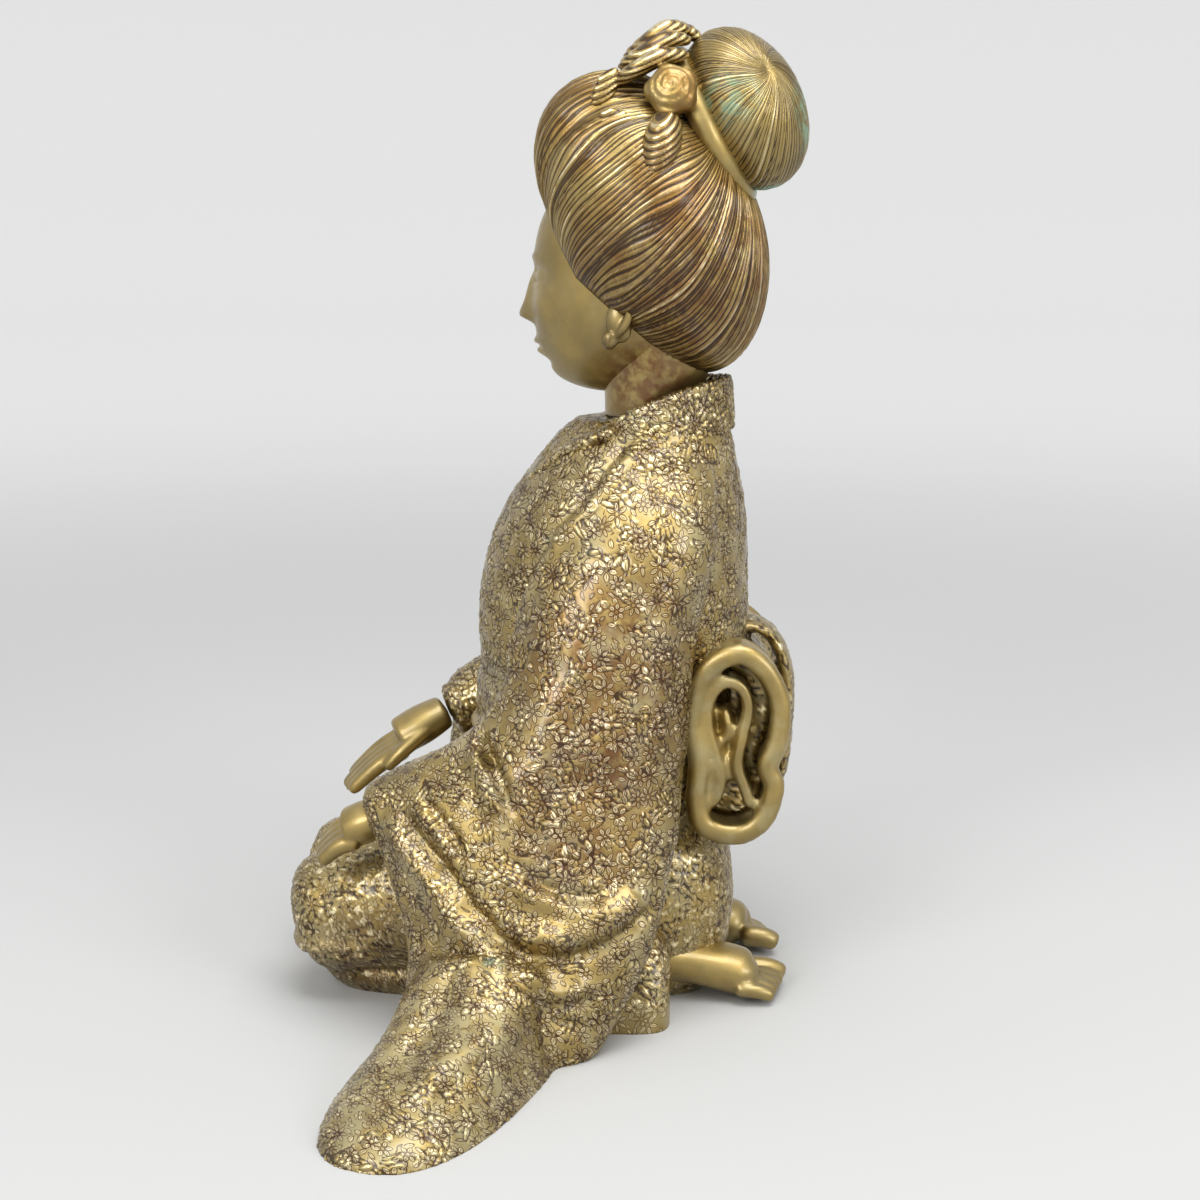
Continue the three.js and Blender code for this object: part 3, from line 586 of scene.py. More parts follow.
def bronzeMaterial(name, looks):
    material = bpy.data.materials.new(name)
    material.use_nodes = True
    tree = material.node_tree
    tree.nodes.clear()
    place = addNode(tree, "TexCoord").outputs["Object"]
    relief = addNode(tree, "Attribute", attribute_name="relief").outputs["Fac"]

    def noise(size, detail=4, rough=0.6, offset=0, distortion=0):
        moved = place
        if offset:
            shift = {"Vector": place, "Location": (offset, offset, offset)}
            moved = addNode(tree, "Mapping", shift).outputs[0]
        inputs = {
            "Vector": moved, "Scale": sizedFor(size),
            "Detail": detail, "Roughness": rough, "Distortion": distortion,
        }
        return addNode(tree, "TexNoise", inputs).outputs["Fac"]

    def ramp(value, low, high, start=0.0, end=1.0):
        inputs = {"Value": value, "From Min": low, "From Max": high, "To Min": start, "To Max": end}
        return addNode(tree, "MapRange", inputs, interpolation_type="SMOOTHSTEP").outputs[0]

    def mix(share, first, second):
        return addNode(tree, "Mix", {0: share, 6: first, 7: second}, data_type="RGBA").outputs[2]

    def calc(operation, *values):
        return addNode(tree, "Math", dict(enumerate(values)), operation=operation).outputs[0]

    def times(first, second):
        return calc("MULTIPLY", first, second)

    def plus(first, second):
        return addNode(tree, "Math", {0: first, 1: second}, operation="ADD", use_clamp=True).outputs[0]

    def patch(centre, radius):
        spot = tuple(value * toMetres for value in centre)
        far = addNode(tree, "VectorMath", {0: place, 1: spot}, operation="DISTANCE").outputs["Value"]
        return ramp(far, radius * toMetres, 0.35 * radius * toMetres)

    def patches(listed):
        total = None
        for centre, radius, strength in listed:
            one = times(patch(centre, radius), strength)
            total = one if total is None else plus(total, one)
        return total

    cloud = noise(22)
    mottled = noise(5, offset=0.3)
    grain = noise(0.9, detail=6, rough=0.7, offset=0.7)
    colour = mix(ramp(cloud, 0.35, 0.65), linear(bronze["base"]), linear(looks.get("second", "#8f7c4c")))
    if looks.get("warm"):
        colour = mix(times(patches(looks["warm"]), ramp(mottled, 0.3, 0.6)), colour, linear(bronze["warm"]))
    # painted highlight: the raised tops of the relief are mixed towards a pale colour
    colour = mix(times(ramp(relief, 0.25, 0.9), ramp(mottled, 0.3, 0.62)), colour, linear(bronze["paintedHighlight"]))
    dusty = times(ramp(relief, 0.5, -0.1), ramp(noise(14, offset=1.3), 0.45, 0.68))
    if looks.get("dust"):
        dusty = plus(dusty, times(patches(looks["dust"]), ramp(mottled, 0.35, 0.6)))
    dusty = times(dusty, looks.get("dustShare", 0.6))
    colour = mix(dusty, colour, linear(bronze["dust"]))
    groove = times(ramp(relief, -0.12, -0.6), looks.get("grooveShare", 0.85))
    colour = mix(groove, colour, linear(bronze["waxAndShade"]))
    raised = None
    if looks.get("chased"):
        raised, cut = chasedPattern(tree, calc, ramp)
        # painted highlight on the raised flowers and leaves of the chased pattern
        colour = mix(times(raised, ramp(mottled, 0.3, 0.7, 0.1, 0.5)), colour, linear(bronze["paintedHighlight"]))
        colour = mix(times(cut, looks["chased"]), colour, linear(bronze["cut"]))
    # painted shade: patches on the lower jaw and the side of the face are made darker
    if looks.get("paintedShade"):
        shadeMask = times(patches(looks["paintedShade"]), ramp(mottled, 0.3, 0.55))
        colour = mix(shadeMask, colour, linear(bronze["waxAndShade"]))
    green = None
    if looks.get("green"):
        green = times(patches(looks["green"]), ramp(noise(6, offset=2.1), 0.38, 0.6))
        colour = mix(green, colour, linear(bronze["verdigris"]))
    speck = ramp(grain, 0.62, 0.72)
    colour = mix(times(speck, 0.35), colour, linear(bronze["waxAndShade"]))
    metallic = addNode(tree, "Math", {0: 1.0, 1: times(dusty, 0.75)}, operation="SUBTRACT").outputs[0]
    rubbed = ramp(relief, 1.0, -1.0, looks.get("smooth", 0.3), looks.get("dull", 0.62))
    rough = plus(rubbed, times(dusty, 0.3))
    if green is not None:
        metallic = times(metallic, ramp(green, 0, 1, 1.0, 0.15))
        rough = plus(rough, times(green, 0.3))
    fine = noise(looks.get("grainSize", 0.7), detail=3, rough=0.6, offset=0.1)
    pitted = noise(2.6, detail=3, rough=0.6, offset=0.9)
    height = plus(times(fine, 0.4), times(pitted, 0.35))
    if raised is not None:
        chased = calc("SUBTRACT", calc("MULTIPLY_ADD", raised, 0.5, 0.5), times(cut, 0.5))
        height = calc("MULTIPLY_ADD", chased, looks["chased"] * 1.2, height)
    bump = addNode(tree, "Bump", {"Strength": looks.get("bump", 0.5), "Distance": 0.0004, "Height": height})
    shader = addNode(tree, "BsdfPrincipled", {
        "Base Color": colour, "Metallic": metallic, "Roughness": rough, "Normal": bump.outputs[0],
        "Coat Weight": looks.get("coat", 0.5), "Coat Roughness": 0.16,
    })
    addNode(tree, "OutputMaterial", {"Surface": shader.outputs[0]})
    return material


clothBronze = bronzeMaterial("bronzeCloth", {
    "chased": 0.8, "dustShare": 0.4,
    "warm": [((80, 5, 150), 60, 0.7), ((88, -8, 95), 42, 0.6)],
    "dust": [((150, -65, 15), 60, 0.7), ((96, -8, 66), 10, 1.0), ((40, -10, 215), 40, 0.35)],
    "green": [((110, -40, 40), 7, 0.9)],
})
skirtBronze = bronzeMaterial("bronzeSkirt", {
    "dustShare": 0.4, "chased": 0.5,
    "warm": [((40, -90, 20), 40, 0.5)],
})
hairBronze = bronzeMaterial("bronzeHair", {
    "dustShare": 0.15, "second": "#8a6a34",
    "warm": [((40, 40, 300), 60, 0.7)],
})
knotBronze = bronzeMaterial("bronzeKnot", {
    "dustShare": 0.1,
    "green": [((26, 52, 372), 16, 0.8), ((10, 76, 366), 18, 0.7), ((8, 66, 338), 9, 0.9)],
})
skinBronze = bronzeMaterial("bronzeSkin", {
    "dustShare": 0.1, "bump": 0.25, "smooth": 0.28,
    # painted shade on the lower jaw and the side of the face
    "paintedShade": [((30, -6, 262), 16, 0.9), ((34, 2, 276), 12, 0.5)],
    "warm": [((18, 18, 262), 26, 0.9)],
})
smoothBronze = bronzeMaterial("bronzeSmooth", {"dustShare": 0.3, "bump": 0.35, "smooth": 0.3})


# robe: trunk and both sleeves

robe = {
    "voxel": 1.45,
    "softening": 11,
    "reliefHeight": 0.42,
    "splitX": 4.0,
    "fineAbove": 0.12,
    "trunk": [
        {"z": 84, "y": 3, "wide": 49, "deep": 53},
        {"z": 100, "y": 3, "wide": 50, "deep": 54},
        {"z": 128, "y": 4, "wide": 52, "deep": 55},
        {"z": 150, "y": 4, "wide": 55, "deep": 57.5},
        {"z": 172, "y": 4, "wide": 57, "deep": 57},
        {"z": 192, "y": 6, "wide": 58, "deep": 54.5},
        {"z": 210, "y": 9, "wide": 56, "deep": 50},
        {"z": 225, "y": 13, "wide": 46, "deep": 43},
        {"z": 237, "y": 16.5, "wide": 35, "deep": 37},
        {"z": 246, "y": 20, "wide": 26, "deep": 30},
    ],
    "nearFall": [
        {"z": -4, "x": 82, "y": -43, "wide": 34, "deep": 42, "turn": -0.1},
        {"z": 18, "x": 81, "y": -33, "wide": 32, "deep": 44, "turn": -0.05},
        {"z": 42, "x": 76, "y": -26.5, "wide": 30, "deep": 49.5},
        {"z": 66, "x": 71, "y": -27, "wide": 28, "deep": 56},
        {"z": 88, "x": 66, "y": -28, "wide": 26, "deep": 62},
        {"z": 106, "x": 62, "y": -22, "wide": 25, "deep": 57},
        {"z": 126, "x": 58, "y": -6, "wide": 25, "deep": 43},
        {"z": 150, "x": 54, "y": 1, "wide": 24, "deep": 37},
        {"z": 175, "x": 50, "y": 6, "wide": 22, "deep": 36},
        {"z": 200, "x": 44, "y": 14, "wide": 20, "deep": 32},
        {"z": 222, "x": 34, "y": 20, "wide": 16, "deep": 26},
        {"z": 232, "x": 26, "y": 22, "wide": 12, "deep": 20},
    ],
    "nearTrain": [
        {"z": -4, "x": 128, "y": -56, "wide": 74, "deep": 34, "turn": -0.33, "square": 0.8},
        {"z": 3, "x": 127, "y": -56, "wide": 73, "deep": 33, "turn": -0.33, "square": 0.8},
        {"z": 9, "x": 124, "y": -55, "wide": 68, "deep": 31, "turn": -0.33, "square": 0.85},
        {"z": 17, "x": 114, "y": -51, "wide": 57, "deep": 28, "turn": -0.3, "square": 0.9},
        {"z": 28, "x": 100, "y": -47, "wide": 41, "deep": 28, "turn": -0.2},
        {"z": 44, "x": 88, "y": -40, "wide": 24, "deep": 25, "turn": -0.1},
    ],
    "nearArm": ([[58, -22, 112], [58, -50, 102], [56, -76, 92], [55, -93, 84]], [23, 21, 19, 17], 0.85),
    "farFall": [
        {"z": -4, "x": -74, "y": -34, "wide": 30, "deep": 44, "turn": 0.1, "square": 0.8},
        {"z": 18, "x": -72, "y": -31, "wide": 29, "deep": 46, "square": 0.9},
        {"z": 42, "x": -69, "y": -27, "wide": 28, "deep": 48},
        {"z": 72, "x": -66, "y": -24, "wide": 26, "deep": 50},
        {"z": 100, "x": -62, "y": -20, "wide": 25, "deep": 50},
        {"z": 126, "x": -58, "y": -8, "wide": 25, "deep": 45},
        {"z": 150, "x": -54, "y": 1, "wide": 24, "deep": 37},
        {"z": 175, "x": -50, "y": 6, "wide": 22, "deep": 36},
        {"z": 200, "x": -44, "y": 14, "wide": 20, "deep": 32},
        {"z": 222, "x": -34, "y": 20, "wide": 16, "deep": 26},
        {"z": 232, "x": -26, "y": 22, "wide": 12, "deep": 20},
    ],
    "farTrain": [
        {"z": -4, "x": -88, "y": -46, "wide": 40, "deep": 32, "turn": 0.3, "square": 0.8},
        {"z": 8, "x": -87, "y": -46, "wide": 37, "deep": 30, "turn": 0.3},
        {"z": 16, "x": -84, "y": -44, "wide": 32, "deep": 26, "turn": 0.3},
        {"z": 30, "x": -80, "y": -40, "wide": 24, "deep": 22, "turn": 0.3},
    ],
    "farArm": ([[-56, -12, 125], [-50, -37, 120], [-42, -56, 114], [-37, -66, 109]], [23, 21, 18, 15], 0.9),
    "farFolds": [
        ([[-74, -72, 84], [-84, -62, 60], [-94, -36, 46], [-94, -6, 46], [-80, 18, 62]], [4, 6, 7, 7, 5], 1),
        ([[-74, -54, 104], [-84, -38, 86], [-88, -12, 78], [-80, 14, 88]], [4, 5, 6, 4], 1),
        ([[-86, -66, 30], [-98, -62, 16], [-118, -68, 7]], [5, 7, 5], 1),
    ],
    # lines of the folds; a fold stands proud on the left of its line and is cut in on the right
    "folds": [
        {"kind": "fold", "wide": 3.6, "deep": 2.2, "fadeIn": 0.1, "fadeOut": 0.12,
         "line": [(32, 15, 240), (42, 3, 227), (49, -7, 214), (49, -17, 203), (48, -24, 192), (45, -30, 176),
                  (45, -35, 160), (52, -38, 152), (60, -40, 138)]},
        {"kind": "valley", "wide": 2.6, "deep": 6.5,
         "line": [(67, -49, 124), (75, -45, 119), (82, -41, 113)]},
        {"kind": "fold", "wide": 3.4, "deep": 2.8,
         "line": [(92, -35, 96), (88, -37, 103), (84, -40, 111), (75, -45, 120), (67, -49, 125)]},
        {"kind": "fold", "wide": 2.6, "deep": 2.6,
         "line": [(93, -54, 78), (90, -56, 86), (85, -62, 92), (81, -67, 97), (75, -74, 102)]},
        {"kind": "fold", "wide": 4.6, "deep": 4.2, "fadeIn": 0.12, "fadeOut": 0.2,
         "line": [(108, -28, 43), (104, -39, 50), (100, -48, 59), (94, -57, 68), (88, -66, 78), (80, -76, 88),
                  (74, -82, 98)]},
        {"kind": "ridge", "wide": 6.0, "deep": 2.4,
         "line": [(96, -72, 66), (100, -62, 52), (108, -50, 42), (116, -40, 34)]},
        {"kind": "fold", "wide": 3.6, "deep": 2.6,
         "line": [(94, 8, 68), (97, -3, 65), (98, -14, 67), (97, -26, 73), (92, -38, 84)]},
        {"kind": "fold", "wide": 4.6, "deep": 4.0, "fadeIn": 0.15, "fadeOut": 0.15,
         "line": [(106, -34, 52), (104, -24, 47), (102, -14, 45), (99, -4, 47), (95, 5, 51), (90, 15, 57),
                  (82, 24, 66)]},
        {"kind": "ridge", "wide": 11.0, "deep": 2.6,
         "line": [(96, 16, 66), (102, 4, 58), (104, -8, 56), (102, -22, 60)]},
        {"kind": "fold", "wide": 3.4, "deep": 2.0,
         "line": [(112, -34, 40), (112, -26, 33), (108, -16, 27), (102, -6, 27), (96, 4, 31)]},
        {"kind": "valley", "wide": 4.0, "deep": 1.8, "line": [(112, -26, 26), (106, -14, 18), (98, -5, 16)]},
        {"kind": "valley", "wide": 7.0, "deep": 3.4,
         "line": [(108, -58, 38), (120, -56, 30), (140, -64, 21), (168, -78, 13)]},
        {"kind": "fold", "wide": 5.0, "deep": 1.8,
         "line": [(178, -60, 9), (155, -50, 13), (132, -36, 18), (116, -26, 26)]},
        {"kind": "valley", "wide": 9.0, "deep": 2.2,
         "line": [(60, 36, 185), (66, 34, 150), (74, 30, 115), (80, 26, 90)]},
        {"kind": "ridge", "wide": 10.0, "deep": 2.2,
         "line": [(72, -18, 150), (80, -22, 130), (88, -24, 108), (95, -20, 86)]},
        {"kind": "valley", "wide": 6.0, "deep": 1.6, "line": [(80, -2, 150), (88, -6, 122), (95, -8, 96)]},
    ],
}


def shapeRobe():
    bm = bmesh.new()
    addLoft(bm, 64, 40, stack(robe["trunk"]))
    swell = lambda share, turn: np.where(share < 0.5, 1.6, 0.6) * np.cos(turn * 5 + share * 4)
    addLoft(bm, 64, 48, stack(robe["nearFall"], swell))
    addLoft(bm, 64, 24, stack(robe["nearTrain"]))
    points, radii, flat = robe["nearArm"]
    addLoft(bm, 32, 24, limb(points, radii, flat))
    addLoft(bm, 64, 40, stack(robe["farFall"], swell))
    addLoft(bm, 48, 20, stack(robe["farTrain"]))
    points, radii, flat = robe["farArm"]
    addLoft(bm, 32, 24, limb(points, radii, flat))
    for points, radii, flat in robe["farFolds"]:
        addLoft(bm, 16, 24, limb(points, radii, flat))
    fused = fuse(bm, robe["voxel"], robe["softening"])
    spots = readSpots(fused)
    writeSpots(fused, foldSkin(spots, readNormals(fused), finder(spots), robe["folds"]))
    print("robe skin", len(fused.polygons), "faces")
    bm = bmesh.new()
    bm.from_mesh(fused)
    cutAtFloor(bm)
    geometry = list(bm.verts) + list(bm.edges) + list(bm.faces)
    bmesh.ops.bisect_plane(bm, geom=geometry, plane_co=(robe["splitX"], 0, 0), plane_no=(1, 0, 0))
    bm.normal_update()
    fine = set()
    for face in bm.faces:
        if face.calc_center_median().x > robe["splitX"] and face.normal.x > robe["fineAbove"]:
            fine.update(face.edges)
    bmesh.ops.subdivide_edges(bm, edges=list(fine), cuts=1, use_grid_fill=True)
    bm.to_mesh(fused)
    bm.free()
    return fused


# cuts a mesh with planes into closed pieces, nothing is lost between them
def partsOf(mesh, keep):
    bm = bmesh.new()
    bm.from_mesh(mesh)
    doomed = [face for face in bm.faces if not keep(face.calc_center_median())]
    bmesh.ops.delete(bm, geom=doomed, context="FACES")
    for edge in bm.edges:
        edge.smooth = not edge.is_boundary
    closeHoles(bm)
    part = bpy.data.meshes.new("part")
    bm.to_mesh(part)
    bm.free()
    return part


def makeRobe():
    mesh = shapeRobe()
    spots = readSpots(mesh)
    normals = readNormals(mesh)
    tree = finder(spots)
    plan = {
        "tries": 60000,
        "fill": [(("scribble", "leaves", "rings", "curl"), 9.0)],
        "stemSpacing": 17,
        "flowers": [(("daisy", "fan", "leaves", "bars", "blossom", "leaves"), 12)],
    }
    height = castRelief(spots, normals, tree, plan, 11)
    lifted = spots + normals * (height * robe["reliefHeight"])[:, None]
    lifted[:, 2] = np.where(spots[:, 2] < 0.01, 0, np.maximum(lifted[:, 2], 0))
    writeSpots(mesh, lifted)
    layer = mesh.attributes.new("relief", "FLOAT", "POINT")
    layer.data.foreach_set("value", height.astype(np.float32))
    layFlat(mesh, spots, 0, 95)
    split = robe["splitX"]
    addPiece("robeNearUpper", partsOf(mesh, lambda c: c.x > split and c.z > 108), clothBronze)
    addPiece("robeNearLower", partsOf(mesh, lambda c: c.x > split and c.z <= 108), clothBronze)
    addPiece("robeFar", partsOf(mesh, lambda c: c.x <= split), clothBronze)


makeRobe()


# skirt over the folded legs

skirt = {
    "voxel": 1.45,
    "softening": 10,
    "reliefHeight": 0.4,
    "block": [
        {"z": -4, "y": -35, "wide": 36, "deep": 77, "square": 0.7},
        {"z": 9, "y": -36, "wide": 45, "deep": 88, "square": 0.66},
        {"z": 36, "y": -36, "wide": 50, "deep": 93, "square": 0.66},
        {"z": 54, "y": -35, "wide": 50, "deep": 91, "square": 0.7},
        {"z": 66, "y": -29, "wide": 47, "deep": 83, "square": 0.8},
        {"z": 80, "y": -16, "wide": 42, "deep": 67},
        {"z": 100, "y": -2, "wide": 38, "deep": 51},
    ],
    "thigh": ([[18, 20, 52], [21, -40, 50], [25, -86, 42], [23, -131, 30]], [34, 34, 30, 24]),
    "folds": [
        {"kind": "fold", "wide": 2.6, "deep": 2.6,
         "line": [(30, -130, 24), (38, -120, 26), (44, -104, 27), (47, -84, 26)]},
        {"kind": "valley", "wide": 2.4, "deep": 2.6, "line": [(47, -80, 14), (46, -92, 11), (42, -108, 8)]},
        {"kind": "valley", "wide": 5.0, "deep": 4.0,
         "line": [(0, -60, 78), (0, -90, 70), (0, -115, 50), (0, -125, 30)]},
        {"kind": "fold", "wide": 2.6, "deep": 2.0,
         "line": [(-10, -62, 80), (-14, -95, 70), (-18, -120, 46), (-22, -128, 14)]},
    ],
}


def makeSkirt():
    bm = bmesh.new()
    addLoft(bm, 72, 32, stack(skirt["block"], lambda share, turn: 1.2 * np.cos(turn * 6)))
    points, radii = skirt["thigh"]
    for side in (-1, 1):
        addLoft(bm, 40, 32, limb([[side * x, y, z] for x, y, z in points], radii))
    fused = fuse(bm, skirt["voxel"], skirt["softening"])
    spots = readSpots(fused)
    spots = foldSkin(spots, readNormals(fused), finder(spots), skirt["folds"])
    writeSpots(fused, spots)
    bm = bmesh.new()
    bm.from_mesh(fused)
    cutAtFloor(bm)
    bm.to_mesh(fused)
    bm.free()
    spots = readSpots(fused)
    normals = readNormals(fused)
    plan = {
        "tries": 26000,
        "fill": [(("rings", "rings", "curl", "leaves"), 4.4)],
        "stemSpacing": 26,
        "flowers": [(("rings", "blossom", "leaves"), 12)],
    }
    height = castRelief(spots, normals, finder(spots), plan, 23)
    lifted = spots + normals * (height * skirt["reliefHeight"])[:, None]
    lifted[:, 2] = np.where(spots[:, 2] < 0.01, 0, np.maximum(lifted[:, 2], 0))
    writeSpots(fused, lifted)
    addPiece("skirt", fused, skirtBronze, height, (-36, 0))


# collar, lapels and sash

collar = {
    "centreY": 20, "radius": 34, "top": 262, "height": 22, "drop": 24, "opening": 0.5,
    "thickness": 4.4, "collar": 0.75, "lapels": 1.3, "reliefHeight": 0.5,
    "lapel": [[27, 9, 242], [19, -13, 231], [8, -29, 213], [-3, -39, 191], [-11, -44, 164], [-14, -47, 134]],
}


def collarBand(share, turn):
    way = smoothRun([[0], [0.5], [1]], share)[:, 0]
    around = -math.pi / 2 + collar["opening"] + way * (fullTurn - 2 * collar["opening"])
    atBack = 0.5 + 0.5 * np.sin(around)
    drop = (1 - atBack) ** 1.4
    middle = collar["top"] - collar["drop"] * drop - collar["height"] / 2
    c, s = np.cos(turn), np.sin(turn)
    isOpen = np.where((share < 1e-4) | (share > 1 - 1e-4), 0, 1)
    outward = np.sign(c) * np.abs(c) ** 0.35 * collar["thickness"] / 2 * isOpen
    upward = np.sign(s) * np.abs(s) ** 0.35 * (collar["height"] / 2 + 2 * drop) * isOpen
    flare = (1.5 + 8 * drop) * (0.5 - upward / collar["height"])
    radius = collar["radius"] - 8 + 5 * atBack + outward + flare
    return np.column_stack([
        np.cos(around) * radius * 0.92,
        collar["centreY"] + np.sin(around) * radius,
        middle + upward,
    ])


def makeCollar():
    bands = {"collar": bmesh.new(), "lapels": bmesh.new()}
    addLoft(bands["collar"], 48, 96, collarBand)
    for side in (1, -1):
        line = [[side * x, y - (2 if side > 0 else 0), z] for x, y, z in collar["lapel"]]
        addLoft(bands["lapels"], 32, 64, limb(line, [8, 8, 8, 8, 8, 8], 0.42, tip=0.05))
    plan = {
        "tries": 9000,
        "fill": [(("rings", "leaves", "curl"), 3.6)],
        "stemSpacing": 12,
        "flowers": [(("blossom", "leaves", "rings"), 7.5)],
    }
    for name, bm in bands.items():
        fused = fuse(bm, collar[name], 5)
        spots = readSpots(fused)
        normals = readNormals(fused)
        height = castRelief(spots, normals, finder(spots), plan, 5)
        writeSpots(fused, spots + normals * (height * collar["reliefHeight"])[:, None])
        addPiece(name, fused, clothBronze, height, (0, 95))


sash = {
    "band": [
        {"z": 90, "y": 2, "wide": 51, "deep": 54},
        {"z": 92, "y": 2, "wide": 53, "deep": 55.5},
        {"z": 96, "y": 2.5, "wide": 54.5, "deep": 57},
        {"z": 132, "y": 3, "wide": 56, "deep": 58},
        {"z": 136, "y": 3, "wide": 54.5, "deep": 56.5},
        {"z": 138, "y": 3, "wide": 52.5, "deep": 54.5},
    ],
    "cordHeight": 114,
    "cordRadius": 2.6,
}


def makeSash():
    bm = bmesh.new()
    addLoft(bm, 96, 40, stack(sash["band"]))
    around = [-math.pi * 0.95 + step / 24 * math.pi * 0.9 for step in range(25)]
    cord = [[56.5 * math.cos(turn), 2.7 + 58 * math.sin(turn), sash["cordHeight"]] for turn in around]
    addLoft(bm, 16, 90, limb(cord, [sash["cordRadius"]] * 25, tip=0.02))
    fused = fuse(bm, 1.6, 3)
    spots = readSpots(fused)
    normals = readNormals(fused)
    plan = {
        "tries": 9000,
        "fill": [(("rings", "bars"), 5.0)],
        "stemSpacing": 40,
        "flowers": [(("daisy", "blossom"), 13)],
    }
    height = castRelief(spots, normals, finder(spots), plan, 6)
    onCord = hill((spots[:, 2] - sash["cordHeight"]) / 3.4)
    height = height * (1 - onCord)
    writeSpots(fused, spots + normals * (height * 0.35)[:, None])
    addPiece("sash", fused, clothBronze, height, (0, 95))


# bow of the sash with its open ends

bow = {
    "halfWidth": 50,
    "outline": [(39, 92), (42, 81), (56, 77), (67, 84), (71, 98), (68, 106), (72, 116), (73, 132), (67, 146),
                (57, 153), (46, 149), (39, 139), (37, 124), (40, 108)],
    "loop": [(45, 88), (49, 98), (47, 110), (44, 121), (44, 133), (50, 141), (57, 139), (60, 131), (58, 119),
             (56, 107), (59, 97), (62, 88)],
    "inner": [(50, 131), (52, 122), (50, 113), (53, 104), (50, 96)],
}


def bowRing(points, x, closed=True):
    line = [[x, y, z] for y, z in points]
    return line + line[:2] if closed else line


def makeBow():
    bm = bmesh.new()
    width = bow["halfWidth"]
    for side in (-1, 1):
        ring = bow["outline"]
        wall = bowRing(ring, side * (width - 14))
        addLoft(bm, 40, 120, limb(wall, [3.6] * len(wall), 14 / 3.6, up=(1, 0, 0), tip=0.001))
        lip = bowRing(ring, side * (width - 3))
        addLoft(bm, 24, 120, limb(lip, [4.6] * len(lip), 0.85, up=(1, 0, 0), tip=0.001))
        curl = bowRing(bow["loop"], side * (width - 12), False)
        addLoft(bm, 32, 90, limb(curl, [2.2] * len(curl), 4.5, up=(1, 0, 0), tip=0.04))
        edge = bowRing(bow["loop"], side * (width - 4), False)
        addLoft(bm, 20, 90, limb(edge, [2.8] * len(edge), 0.9, up=(1, 0, 0), tip=0.04))
        tongue = bowRing(bow["inner"], side * (width - 12), False)
        addLoft(bm, 24, 40, limb(tongue, [2.4, 3.0, 2.2, 2.8, 2.0], 3.0, up=(1, 0, 0)))
    middleY = np.mean([y for y, z in bow["outline"]])
    middleZ = np.mean([z for y, z in bow["outline"]])

    def body(share, turn):
        x = (share * 2 - 1) * (width - 22)
        isOpen = np.where((share < 1e-4) | (share > 1 - 1e-4), 0, 1)
        ring = np.array(bow["outline"] + bow["outline"][:1], float)
        around = smoothRun(ring, (turn / fullTurn) % 1)
        y = middleY + (around[:, 0] - middleY) * isOpen
        z = middleZ + (around[:, 1] - middleZ) * isOpen
        return np.column_stack([x, y, z])
    addLoft(bm, 96, 40, body)
    strap = [[-46, 46, 148], [-20, 50, 154], [0, 52, 156], [20, 50, 154], [46, 46, 148]]
    addLoft(bm, 24, 60, limb(strap, [5, 6.5, 7, 6.5, 5], 0.7))
    knot = [[0, 44, 154], [0, 66, 156], [0, 77, 140], [0, 78, 112], [0, 74, 88], [0, 60, 77]]
    addLoft(bm, 32, 60, limb(knot, [2.6, 3, 3, 3, 3, 2.6], 4, up=(1, 0, 0)))
    fused = fuse(bm, 1.5, 4)
    spots = readSpots(fused)
    normals = readNormals(fused)
    plan = {
        "tries": 12000,
        "fill": [(("rings", "leaves"), 6.0)],
        "stemSpacing": 22,
        "flowers": [(("daisy", "fan", "blossom"), 15)],
    }
    height = castRelief(spots, normals, finder(spots), plan, 8)
    outside = smoothStep((width - 16 - np.abs(spots[:, 0])) / 6)
    height = height * outside
    writeSpots(fused, spots + normals * (height * 0.35)[:, None])
    addPiece("bow", fused, smoothBronze, height)


# hands

hands = {
    "near": {"wrist": [56, -88, 87], "knuckles": [54, -104, 80], "tips": [54, -117, 68]},
    "far": {"wrist": [-33, -72, 109], "knuckles": [-27, -94, 97], "tips": [-22, -118, 74]},
    "cuff": ([[-42, -46, 119], [-38, -57, 114], [-34, -71, 108]], [14, 13.5, 12.0]),
}


def addHand(bm, hand, thumb):
    wrist, knuckles, tips = (np.array(hand[key], float) for key in ("wrist", "knuckles", "tips"))
    palm = [wrist, (wrist + knuckles) / 2, knuckles]
    addLoft(bm, 24, 20, limb(palm, [9, 11, 10.4], 0.8))
    for slot in (-1.5, -0.5, 0.5, 1.5):
        reach = 1 - 0.08 * abs(slot + 0.4)
        base = knuckles + [slot * 4.4, 6, slot * -1.8]
        end = knuckles + [slot * 4.2, 0, slot * -1.8] + (tips - knuckles) * reach
        joint = (base + end) / 2 + [0, 0, 2.2]
        addLoft(bm, 16, 24, limb([base, joint, end], [4.2, 4.0, 3.0], 0.95, tip=0.16))
    addLoft(bm, 16, 20, limb(thumb, [3.8, 3.4, 2.6], tip=0.16))


